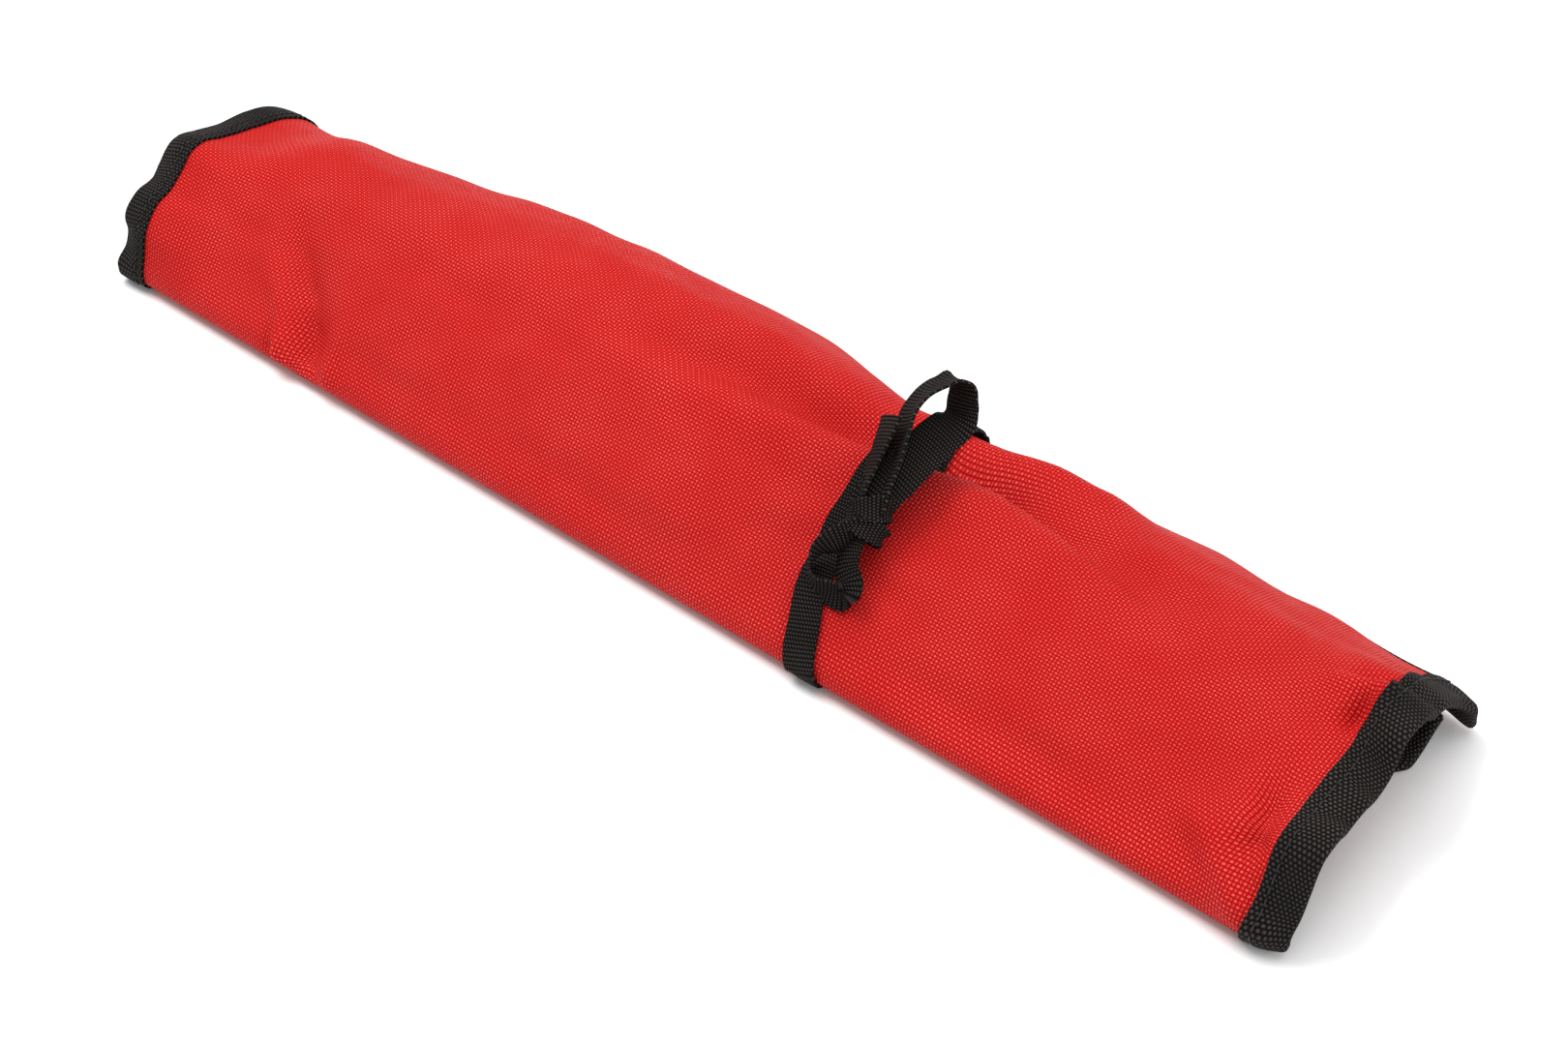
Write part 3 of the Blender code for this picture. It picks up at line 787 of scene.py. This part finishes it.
@dataclass
class Wrap:
    """The red cloth and the black tapes sewn to its edges."""

    form: WrapForm
    cloth_end: float = END - 0.0019
    groove: float = 0.0030              # the seam's distance from the binding's inner edge
    stitch: float = 0.0032
    puff: float = 0.00035               # how far a leaf swells between its seam and the edge
    seam_depth: float = 0.00042         # how far the seam pulls the leaf in

    @staticmethod
    def round_place(y: np.ndarray) -> np.ndarray:
        """Grid place (-1 to 1) to v, a quarter of the rows to the lower layer."""
        return np.where(y < -0.5, (y + 0.5) / 0.5, (y + 0.5) / 1.5)

    def cloth(self) -> bpy.types.Object:
        """The one sheet of red cloth.

        Returns:
            The finished sheet.
        """
        piece = flat_grid("red_wrap_cloth", 304, 158)
        grid = corners(piece)
        s, v = grid[:, 0] * self.cloth_end, self.round_place(grid[:, 1])
        set_uv(piece, np.column_stack([s, self.form.read(self.form.round, s, v)]))
        self.form.hang(piece, np.column_stack([s, v, v * 0]), self.form.lay(s, v))
        finish_mesh(piece, CLOTH)
        dress(piece, RED_CLOTH)
        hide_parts("wrap_flap_cloth", "wrap_lower_cloth")
        return piece

    def leaf(self, across: np.ndarray, width: float) -> tuple[np.ndarray, np.ndarray]:
        """A folded tape's profile: outer leaf, turn over the edge, inner leaf.

        Args:
            across: Places over the profile, -1 (outer leaf's edge) to 1 (inner leaf's edge).
            width: Length of each leaf.

        Returns:
            Distance beyond the leaves' sewn edge, and lift from the cloth's middle.
        """
        turn = LEAF * pi
        far = (across + 1) / 2 * (2 * width + turn)
        angle = np.clip((far - width) / turn, 0, 1) * pi
        reach = np.where(far < width, far, np.where(far > width + turn, 2 * width + turn - far,
                                                    width + LEAF * np.sin(angle)))
        lift = LEAF * np.cos(angle)
        outer = np.clip(1 - far / 0.004, 0, 1)
        puff = self.puff * np.sin(np.clip(reach - self.groove, 0, None) / width * pi)
        seam = -self.seam_depth * np.exp(-((far - self.groove) / 0.0007) ** 2)
        return reach, lift + np.where(angle < pi / 2, puff + seam - 0.0002 * outer, -puff)

    def end_binding(self, side: int, name: str, nodes: tuple[str, str]) -> bpy.types.Object:
        """Tape round one end edge, from the lower layer's back to the flap's back.

        Args:
            side: 1 for the near (right) end, -1 for the far end.
            name: The piece's name.
            nodes: The CAD nodes it stands for.

        Returns:
            The finished tape.
        """
        piece = flat_grid(name, 34, 330)
        grid = corners(piece)
        v = self.round_place(grid[:, 1])
        reach, lift = self.leaf(grid[:, 0], BINDING_LEAF)
        way = self.form.read(self.form.round, np.full_like(v, side * (END - BINDING)), v)
        ripple = 0.00022 * np.sin(way / 0.0043 + side) + 0.00016 * np.sin(way / 0.0027 + 2.0)
        uneven = 0.0004 * np.sin(way / 0.019 + 1.3 * side) + 0.00025 * np.sin(way / 0.0081)
        s = side * (END - BINDING + reach + uneven * (1 - reach / BINDING))
        lift = lift + ripple * np.sin(np.clip(reach / BINDING, 0, 1) * pi) * np.sign(lift)
        set_uv(piece, np.column_stack([(grid[:, 0] + 1) * BINDING, way]))
        self.form.hang(piece, np.column_stack([s, v, v * 0]), self.form.lay(s, v, lift))
        if side < 0:
            piece.data.flip_normals()
        finish_mesh(piece, TAPE * 0.8)
        dress(piece, BINDING_TAPE)
        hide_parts(*nodes)
        return piece

    def edge_binding(self, edge: int, name: str, node: str, body: str) -> bpy.types.Object:
        """Tape over a long edge, between the end bindings.

        Args:
            edge: 1 for the flap's back edge, -1 for the lower layer's.
            name: The piece's name.
            node: The CAD node it stands for.
            body: The body it rides on.

        Returns:
            The finished tape.
        """
        piece = flat_grid(name, 260, 22)
        grid = corners(piece)
        s = grid[:, 0] * (RED_LENGTH / 2 - 0.0006)
        reach, lift = self.leaf(grid[:, 1], BINDING_LEAF)
        length = FLAP_ROUND if edge > 0 else LOWER_ROUND
        v = edge * (1 - (BINDING_LEAF - reach) / length)
        set_uv(piece, np.column_stack([(grid[:, 1] + 1) * BINDING, s]))
        set_corners(piece, self.form.lay(s, v, lift))
        if edge > 0:
            piece.data.flip_normals()
        finish_mesh(piece, TAPE * 0.8)
        dress(piece, BINDING_TAPE)
        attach(piece, body)
        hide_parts(node)
        return piece

    def stitches(self, side: int, name: str) -> bpy.types.Object:
        """A row of machine stitches in the binding's seam, modelled once and repeated.

        Args:
            side: 1 for the near end, -1 for the far end.
            name: The row's name.

        Returns:
            The finished row.
        """
        start_clean()
        bpy.ops.mesh.primitive_uv_sphere_add(segments=6, ring_count=4, radius=0.5)
        piece = bpy.context.object
        piece.name = piece.data.name = name
        bpy.ops.object.mode_set(mode="EDIT")
        bpy.ops.transform.resize(value=(0.00042, self.stitch * 0.86, 0.00042))
        bpy.ops.object.mode_set(mode="OBJECT")
        count = int((FLAP_ROUND + LOWER_ROUND) / self.stitch)
        repeat = piece.modifiers.new("row", "ARRAY")
        repeat.count, repeat.use_relative_offset, repeat.use_constant_offset = count, False, True
        repeat.constant_offset_displace = (0.0, self.stitch, 0.0)
        bpy.ops.object.modifier_apply(modifier=repeat.name)
        whole = corners(piece) + np.array([0.0, -LOWER_ROUND + 0.002, 0.0])
        v = np.where(whole[:, 1] > 0, whole[:, 1] / FLAP_ROUND, whole[:, 1] / LOWER_ROUND)
        s = side * (END - BINDING + self.groove) + whole[:, 0]
        arch = 0.00030 * (1 - (whole[:, 1] % self.stitch / self.stitch - 0.5) ** 2)
        LOG.info("%s: %d stitches", name, count)
        self.form.hang(piece, np.column_stack([s, v, v * 0]),
                       self.form.lay(s, np.clip(v, -1, 1), LEAF + 0.00012 + arch + whole[:, 2]))
        finish_mesh(piece)
        dress(piece, THREAD)
        return piece

    def build(self) -> None:
        """Make the cloth, its four bindings and their seams."""
        self.cloth()
        self.end_binding(1, "near_end_binding", ("near_binding_flap", "near_binding_lower"))
        self.end_binding(-1, "far_end_binding", ("far_binding_flap", "far_binding_lower"))
        self.edge_binding(1, "flap_back_binding", "flap_edge_binding", "flap")
        self.edge_binding(-1, "lower_back_binding", "lower_edge_binding", "wrap")
        self.stitches(1, "near_seam_stitches")
        self.stitches(-1, "far_seam_stitches")


def tape(name: str, rows: np.ndarray, widths: np.ndarray, across: int, cup: float = 0.0
         ) -> bpy.types.Object:
    """A flat tape along a route, with a direction for its width at each row.

    Args:
        name: The piece's name.
        rows: Route points in the object's frame.
        widths: The vector from the tape's middle to its edge, one for each row.
        across: How many strips of faces the tape's width has.
        cup: How far the tape's middle stands off its edges.

    Returns:
        The tape's middle surface, with its UV in metres.
    """
    piece = flat_grid(name, across, len(rows) - 1)
    grid = corners(piece)
    row = np.rint((grid[:, 1] + 1) / 2 * (len(rows) - 1)).astype(int)
    along = np.gradient(rows, axis=0)
    along /= np.linalg.norm(along, axis=1, keepdims=True)
    half = np.linalg.norm(widths, axis=1, keepdims=True)
    side = widths - along * np.sum(widths * along, axis=1, keepdims=True)
    side *= half / np.linalg.norm(side, axis=1, keepdims=True)
    face = np.cross(side, along)
    face /= np.linalg.norm(face, axis=1, keepdims=True)
    place = (rows[row] + side[row] * grid[:, :1] + face[row] * cup * (1 - grid[:, :1] ** 2))
    set_uv(piece, np.column_stack([grid[:, 0] * half[row, 0], chord(rows)[row]]))
    set_corners(piece, place)
    return piece


@dataclass
class Tie:
    """The tape round the roll, and the patch that holds it to the flap's back edge."""

    form: WrapForm
    width: float = 0.0094
    over_back: float = 0.0033
    tack_x: float = 0.0532
    tack_rows: int = 9
    tack_length: float = 0.0060

    def band(self) -> bpy.types.Object:
        """The tape, from the flap's foot over the roll, under it and up behind again.

        Returns:
            The finished band.
        """
        over_v = np.linspace(1.0, 0.0, 120)
        drift = through(np.array([0, 0.06, 0.15, 0.4, 1]),
                        np.array([[0.068], [0.0645], [0.0600], [0.0540], [0.0532]]), over_v)[:, 0]
        arc_v = np.linspace(-0.004, -0.075, 8)
        v = np.concatenate([over_v, arc_v])
        x = np.concatenate([drift, np.full(len(arc_v), 0.068)])
        lift = LEAF + 0.0004 + (self.over_back - LEAF) * smooth((v - 0.78) / 0.08)
        lift = np.where(v < 0, LEAF, lift)
        edges = []
        for side in (-0.5, 0.5):
            across = x + side * self.width * (1 + 0.08 * smooth(1 - np.abs(v) / 0.16))
            s = across.copy()
            for _ in range(4):
                s += across - self.form.read(self.form.points, s, v)[:, 0]
            edges.append(self.form.lay(s, v, lift))
        left, right = edges
        middle, half = (left + right) / 2, (right - left) / 2
        back_y, front_y = middle[0, 1] - 0.0004, middle[-1, 1]
        floor = [np.array([middle[-1, 0], y, TAPE / 2])
                 for y in np.linspace(front_y + 0.004, back_y - 0.003, 14)]
        turn = [np.array([middle[-1, 0], back_y - 0.003 + 0.003 * sin(a), 0.0036 - 0.0031 * cos(a)])
                for a in np.linspace(0.2, pi / 2 * 0.85, 6)]
        rows = np.vstack([middle, floor, turn])
        halves = np.vstack([half, np.tile([self.width / 2, 0, 0], (len(rows) - len(half), 1))])
        piece = tape("tie_band", rows, halves, 8, cup=-0.0002)
        grid_rows = np.repeat(np.arange(len(rows)), 9)
        below = np.arange(len(floor) + len(turn))
        flat_y = np.concatenate([v * FLAP_ROUND, -0.008 - below * 0.004])
        placed = corners(piece)
        set_corners(piece, np.column_stack([placed[:, 0], flat_y[grid_rows], placed[:, 0] * 0]))
        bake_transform(piece)
        set_corners(piece, placed)
        finish_mesh(piece, TAPE * 0.85)
        dress(piece, TIE_TAPE)
        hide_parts("tie_band_over", "tie_band_under")
        return piece

    def bar_tack(self) -> bpy.types.Object:
        """The close zigzag of thread that sews the tie to the flap's back edge.

        Returns:
            The finished stitching.
        """
        low, high = (np.array(corner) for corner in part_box("tie_bar_tack"))
        width = (high[0] - low[0]) * 0.92
        start_clean()
        bpy.ops.mesh.primitive_cylinder_add(vertices=8, radius=0.5, depth=1.0, rotation=(0, pi / 2, 0))
        piece = bpy.context.object
        piece.name = piece.data.name = "bar_tack_thread"
        bpy.ops.object.transform_apply(location=False, rotation=True, scale=True)
        bpy.ops.object.mode_set(mode="EDIT")
        bpy.ops.mesh.select_all(action="SELECT")
        bpy.ops.transform.resize(value=(width, 0.0006, 0.0007))
        bpy.ops.mesh.bevel(offset=0.00012, segments=2)
        bpy.ops.object.mode_set(mode="OBJECT")
        repeat = piece.modifiers.new("rows", "ARRAY")
        repeat.count, repeat.use_relative_offset, repeat.use_constant_offset = self.tack_rows, False, True
        repeat.constant_offset_displace = (0.0, self.tack_length / (self.tack_rows - 1), 0.0)
        bpy.ops.object.modifier_apply(modifier=repeat.name)
        placed = corners(piece)
        v = np.clip(0.86 + placed[:, 1] / FLAP_ROUND, 0, 1)
        s = placed[:, 0] + self.tack_x + SKEW * v * FLAP_ROUND
        set_corners(piece, self.form.lay(s, v, self.over_back + 0.0006 + placed[:, 2]))
        bpy.ops.object.mode_set(mode="EDIT")
        bpy.ops.mesh.select_all(action="SELECT")
        bpy.ops.uv.cube_project(cube_size=1.0)
        bpy.ops.object.mode_set(mode="OBJECT")
        finish_mesh(piece)
        dress(piece, THREAD)
        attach(piece, "flap")
        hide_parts("tie_bar_tack")
        return piece

    def build(self) -> None:
        """Make the band and its bar tack."""
        self.band()
        self.bar_tack()


@dataclass
class Bow:
    """The knot, its two loops and its free end.

    Routes are in the bow's own leaning frame, in millimetres: side, rise and out from the
    knot's middle. Each row ends with the tape's width direction in the same frame.
    """

    knot: Triple = (0.0640, 0.0323, 0.0381)
    half_width: float = 0.0064
    side: Triple = (0.768, 0.641, 0.0)
    rise: Triple = (-0.432, 0.518, 0.738)
    out: Triple = (0.473, -0.567, 0.674)
    big: tuple = (
        (-2.0, -1.0, 0.5, 0.78, -0.55, 0.20), (1.9, 5.4, 0.8, 0.78, -0.58, 0.20),
        (7.8, 11.2, -0.8, 0.80, -0.60, 0.16), (13.8, 17.2, -4.0, 0.80, -0.60, 0.18),
        (19.8, 22.8, -7.4, 0.78, -0.58, 0.24), (24.4, 26.6, -10.0, 0.74, -0.45, 0.42),
        (26.4, 29.0, -11.4, 0.66, -0.15, 0.72), (26.9, 33.0, -10.8, 0.58, 0.10, 0.80),
        (26.8, 37.4, -9.4, 0.40, 0.05, 0.90), (25.0, 39.8, -8.2, 0.20, -0.22, 0.95),
        (20.6, 38.2, -6.8, 0.08, -0.30, 0.95), (15.6, 35.2, -5.4, 0.10, -0.28, 0.95),
        (11.8, 30.8, -4.4, 0.20, -0.20, 0.96), (9.2, 24.0, -3.4, 0.27, -0.13, 0.95),
        (6.4, 16.0, -1.9, 0.30, -0.15, 0.94), (3.0, 8.5, -0.6, 0.36, -0.20, 0.90),
        (0.0, 1.5, 0.0, 0.50, -0.30, 0.80))
    small: tuple = (
        (1.0, -1.0, 0.5, 0.35, 0.80, 0.40), (-5.0, -4.0, 2.2, 0.32, 0.82, 0.40),
        (-11.0, -6.8, 2.6, 0.15, 0.78, 0.60), (-15.4, -10.2, 1.2, 0.05, 0.35, 0.93),
        (-17.2, -14.4, 0.6, 0.05, 0.10, 0.99), (-15.8, -18.4, 1.6, 0.25, 0.25, 0.93),
        (-12.2, -20.6, 3.2, 0.35, 0.55, 0.76), (-9.0, -22.0, 4.6, 0.50, 0.62, 0.60),
        (-6.6, -22.2, 5.6, 0.78, 0.35, 0.52), (-5.6, -19.4, 5.0, 0.84, 0.05, 0.50),
        (-6.2, -14.4, 3.0, 0.66, -0.10, 0.74), (-5.0, -8.6, 1.2, 0.66, 0.00, 0.74),
        (-1.0, -2.0, 0.0, 0.70, 0.20, 0.70))
    end: tuple = (
        (-2.6, 1.0, -2.2, 0.30, 0.10, 0.95), (-2.2, 6.2, -2.5, 0.12, 0.00, 0.99),
        (0.6, 13.5, -3.4, 0.16, -0.05, 0.98), (3.6, 21.0, -4.4, 0.24, -0.08, 0.96),
        (6.6, 28.5, -5.2, 0.34, -0.10, 0.93))

    def at(self, rows: np.ndarray) -> np.ndarray:
        """Points of the leaning frame, in the object's frame."""
        axes = np.array([self.side, self.rise, self.out])
        return np.array(self.knot) + ORIGIN + rows @ axes / 1000

    def strand(self, name: str, table: tuple, count: int, body: str, node: str,
               narrow: float = 1.0) -> bpy.types.Object:
        """One loop or end of tape.

        Args:
            name: The piece's name.
            table: Its route and width directions.
            count: Rows along it.
            body: The body it rides on.
            node: The CAD node it stands for.
            narrow: Its half-width as a part of the tie's.

        Returns:
            The finished strand.
        """
        rows = route(np.array(table), count)
        axes = np.array([self.side, self.rise, self.out])
        turned = rows[:, 3:] @ axes
        turned *= self.half_width * narrow / np.linalg.norm(turned, axis=1, keepdims=True)
        piece = tape(name, self.at(rows[:, :3]), turned, 8, cup=0.0007)
        finish_mesh(piece, TAPE * 0.85)
        dress(piece, TIE_TAPE)
        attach(piece, body)
        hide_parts(node)
        return piece

    def turn_of_tape(self, name: str, middle: Triple, radii: tuple[float, float], width: float,
                     roll: float, lean: float) -> bpy.types.Object:
        """A turn of tape drawn tight round the knot.

        Args:
            name: The piece's name.
            middle: Its middle in the leaning frame, in millimetres.
            radii: Half its reach sideways and outwards, in millimetres.
            width: The tape's width here, in millimetres.
            roll: How far the turn is rolled in the plane of side and rise, in degrees.
            lean: How far one edge leans outwards, as a part of the width.

        Returns:
            The finished turn.
        """
        angles = np.linspace(0, 2 * pi, 61)
        way = radians(roll)
        flat_side, flat_rise = np.array([cos(way), sin(way), 0]), np.array([-sin(way), cos(way), 0])
        squash = (np.abs(np.cos(angles)) ** 2.6 + np.abs(np.sin(angles)) ** 2.6) ** (-1 / 2.6)
        rows = (np.array(middle) + np.outer(radii[0] * squash * np.cos(angles), flat_side)
                + np.outer(radii[1] * squash * np.sin(angles), [0, 0, 1])
                + np.outer(0.5 * np.sin(2 * angles), flat_rise))
        pinch = 1 - 0.18 * np.cos(2 * angles + 0.6)
        halves = (np.outer(width / 2 * pinch, flat_rise)
                  + np.outer(width / 2 * lean * np.sin(angles), [0, 0, 1]))
        axes = np.array([self.side, self.rise, self.out])
        piece = tape(name, self.at(rows), halves @ axes / 1000, 8, cup=-0.0009)
        finish_mesh(piece, TAPE * 0.85)
        dress(piece, TIE_TAPE)
        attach(piece, "flap")
        return piece

    def core(self) -> bpy.types.Object:
        """The tape gathered inside the knot, a soft pleated lump.

        Returns:
            The finished lump.
        """
        start_clean()
        bpy.ops.mesh.primitive_uv_sphere_add(segments=28, ring_count=16, radius=1.0)
        piece = bpy.context.object
        piece.name = piece.data.name = "gathered_knot"
        round_points = corners(piece)
        angle = np.arctan2(round_points[:, 2], round_points[:, 0])
        pleat = 1 + 0.07 * np.sin(angle * 7 + round_points[:, 1] * 2)
        shape = round_points * np.array([5.2, 5.6, 3.9]) * pleat[:, None] + np.array([-0.3, -0.6, -0.3])
        uv = np.column_stack([round_points[:, 1] * 0.006, angle * 0.005])
        set_uv(piece, uv)
        set_corners(piece, self.at(shape))
        finish_mesh(piece)
        dress(piece, TIE_TAPE)
        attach(piece, "flap")
        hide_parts("knot_core")
        return piece

    def build(self) -> None:
        """Make the knot, the loops and the free end."""
        self.core()
        top = self.turn_of_tape("knot_turn_top", (0.6, 2.2, 0.0), (6.2, 4.9), 6.4, -8.0, 0.1)
        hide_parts("knot_wrap")
        self.turn_of_tape("knot_turn_cross", (-1.2, -3.0, 0.2), (6.6, 4.6), 5.4, -34.0, -0.1)
        self.strand("big_loop_tape", self.big, 120, "big_loop", "big_loop")
        self.strand("small_loop_tape", self.small, 90, "small_loop", "small_loop", 0.66)
        self.strand("free_end_tape", self.end, 40, "tail", "tail")


@dataclass
class Blanket:
    """The glass-fibre blanket folded inside the wrap, and the tapes it is pulled out by."""

    layers: int = 12
    thin_height: float = 0.013      # the stack's height unit at its near end
    full_height: float = 0.020      # and at its far end
    cover: float = 0.0026           # the gap left under the flap

    def build(self) -> None:
        """Make the folded stack, one long folded sheet, and its pull tapes."""
        low, high = (np.array(corner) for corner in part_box("folded_blanket"))
        piece = flat_grid("folded_glass_cloth", 120, self.layers * 26)
        grid = corners(piece)
        x_part = (grid[:, 0] + 1) / 2
        way = (grid[:, 1] + 1) / 2 * self.layers
        number = np.minimum(np.floor(way), self.layers - 1)
        part = way - number
        back_and_forth = np.where(number % 2 == 0, part, 1 - part)
        x = low[0] + 0.001 + (high[0] - low[0] - 0.002) * x_part
        full = 1 - smooth((x - ORIGIN[0] + 0.040) / 0.235)
        across = 0.04 + 0.92 * back_and_forth
        depth_y = low[1] + 0.0010 + (high[1] - low[1] - 0.0020) * across
        knots = np.array([0.0, 0.15, 0.52, 0.85, 1.0])
        thin_top = np.interp(across, knots, np.array([0.70, 0.98, 1.60, 1.66, 1.15]) * self.thin_height)
        full_top = np.interp(across, knots, np.array([0.70, 0.98, 1.55, 1.42, 1.0]) * self.full_height)
        top = thin_top * (1 - full) + full_top * full - self.cover
        base = low[2] + 0.0010
        # each fold's last and first parts rise half a layer, so that the layers join
        turn = smooth((part - 0.94) / 0.06) * 0.5 + (smooth(part / 0.06) - 1) * 0.5
        stack = (number + 0.5 + turn) / self.layers
        z = base + (top - base) * stack
        z += 0.00025 * np.sin(x * 90 + number * 2.1) * (stack > 0.05)
        x = x + 0.0009 * np.sin(number * 2.4) * (x_part * 2 - 1)
        set_uv(piece, np.column_stack([x, way * 0.05]))
        set_corners(piece, np.column_stack([x, depth_y, z]))
        finish_mesh(piece, 0.00045)
        dress(piece, GLASS_FIBRE)
        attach(piece, "blanket")
        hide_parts("folded_blanket")
        for node in ("pull_tape_front", "pull_tape_back"):
            self.pull_tape(node)

    @staticmethod
    def pull_tape(node: str) -> bpy.types.Object:
        """One pull tape, a narrow strip doubled back on itself.

        Args:
            node: The CAD node it stands for.

        Returns:
            The finished tape.
        """
        low, high = (np.array(corner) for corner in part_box(node))
        middle_y, half = (low[1] + high[1]) / 2, (high[1] - low[1]) / 2
        top, bottom = high[2] - 0.0006, low[2] + 0.0006
        left, right = low[0] + 0.0006, high[0] - 0.0006
        radius = (top - bottom) / 2
        points = [(right, middle_y, top), ((left + right) / 2, middle_y, top),
                  (left + radius, middle_y, top)]
        points += [(left + radius - radius * sin(a), middle_y, (top + bottom) / 2 + radius * cos(a))
                   for a in np.linspace(0.4, pi - 0.4, 6)]
        points += [(left + radius, middle_y, bottom), ((left + right) / 2, middle_y, bottom),
                   (right, middle_y, bottom)]
        rows = route(np.array(points), 70)
        piece = tape(f"{node}_strip", rows, np.tile([0.0, half, 0.0], (len(rows), 1)), 8, cup=0.0002)
        finish_mesh(piece, 0.0009)
        dress(piece, PULL_TAPE)
        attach(piece, "blanket")
        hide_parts(node)
        return piece


@dataclass(frozen=True)
class Lamp:
    """One soft area light: where it stands, what it faces, its size and its power."""

    name: str
    place: Triple
    size: tuple[float, float]
    power: float
    target: Triple = (0.0, 0.0, 0.02)

    def build(self) -> None:
        """Put the lamp in the scene."""
        data = bpy.data.lights.new(self.name, "AREA")
        data.shape, data.size, data.size_y = "RECTANGLE", *self.size
        data.energy = self.power
        lamp = bpy.data.objects.new(self.name, data)
        bpy.context.scene.collection.objects.link(lamp)
        lamp.location = self.place
        way = Vector(self.target) - Vector(self.place)
        lamp.rotation_euler = way.to_track_quat("-Z", "Y").to_euler()


@dataclass
class Studio:
    """Pale floor, soft light and the camera."""

    camera_place: Triple = (0.4037, -0.4119, 0.5464)
    azimuth: float = 39.84
    elevation: float = 42.4
    lens: float = 62.22
    lamps: tuple[Lamp, ...] = (
        Lamp("key", (-0.75, -0.15, 1.40), (0.9, 0.8), 15.0),
        Lamp("overhead", (0.05, 0.10, 1.6), (1.6, 1.4), 15.0),
        Lamp("right_fill", (1.5, 0.1, 0.6), (1.4, 1.0), 9.0),
    )

    def camera(self) -> None:
        """Place the camera."""
        data = bpy.data.cameras.new("camera")
        data.lens, data.sensor_width = self.lens, 36.0
        data.clip_start, data.clip_end = 0.01, 50.0
        made = bpy.data.objects.new("camera", data)
        bpy.context.scene.collection.objects.link(made)
        made.location = Vector(self.camera_place) + Vector(ORIGIN)
        az, el = radians(self.azimuth), radians(self.elevation)
        back = Vector((sin(az) * cos(el), -cos(az) * cos(el), sin(el)))
        made.rotation_euler = (-back).to_track_quat("-Z", "Y").to_euler()
        bpy.context.scene.camera = made

    def floor(self) -> None:
        """Lay a pale floor with a faint paper grain."""
        start_clean()
        bpy.ops.mesh.primitive_plane_add(size=12.0, location=(0, 0, -0.0002))
        floor = bpy.context.object
        floor.name = "floor"
        made = bpy.data.materials.new("pale_floor")
        made.use_nodes = True
        kit = NodeKit(made.node_tree)
        shader = made.node_tree.nodes["Principled BSDF"]
        place = kit.add("ShaderNodeTexCoord")
        kit.feed(shader.inputs["Base Color"],
                 kit.blend(kit.noise(place.outputs["Object"], 60.0), (0.94, 0.94, 0.94, 1),
                           (0.96, 0.96, 0.96, 1)))
        shader.inputs["Roughness"].default_value = 0.85
        shader.inputs["Specular IOR Level"].default_value = 0.1
        floor.data.materials.append(made)

    def build(self) -> None:
        """Set up the studio."""
        self.camera()
        self.floor()
        for lamp in self.lamps:
            lamp.build()
        world = bpy.data.worlds.new("studio_world")
        world.use_nodes = True
        sky = world.node_tree.nodes["Background"]
        sky.inputs["Color"].default_value = (1.0, 1.0, 1.0, 1.0)
        sky.inputs["Strength"].default_value = 0.55
        bpy.context.scene.world = world
        bpy.context.scene.view_settings.view_transform = "Standard"


def main() -> None:
    """Build every sub-assembly in order and report the pieces."""
    logging.basicConfig(level=logging.INFO, format="%(message)s")
    Studio().build()
    form = WrapForm()
    for assembly in (Wrap(form), Tie(form), Bow(), Blanket()):
        before = set(bpy.data.objects)
        assembly.build()
        for piece in sorted(set(bpy.data.objects) - before, key=lambda o: o.name):
            LOG.info("%s: %d faces", piece.name, len(piece.data.polygons))


if __name__ == "__main__":
    main()
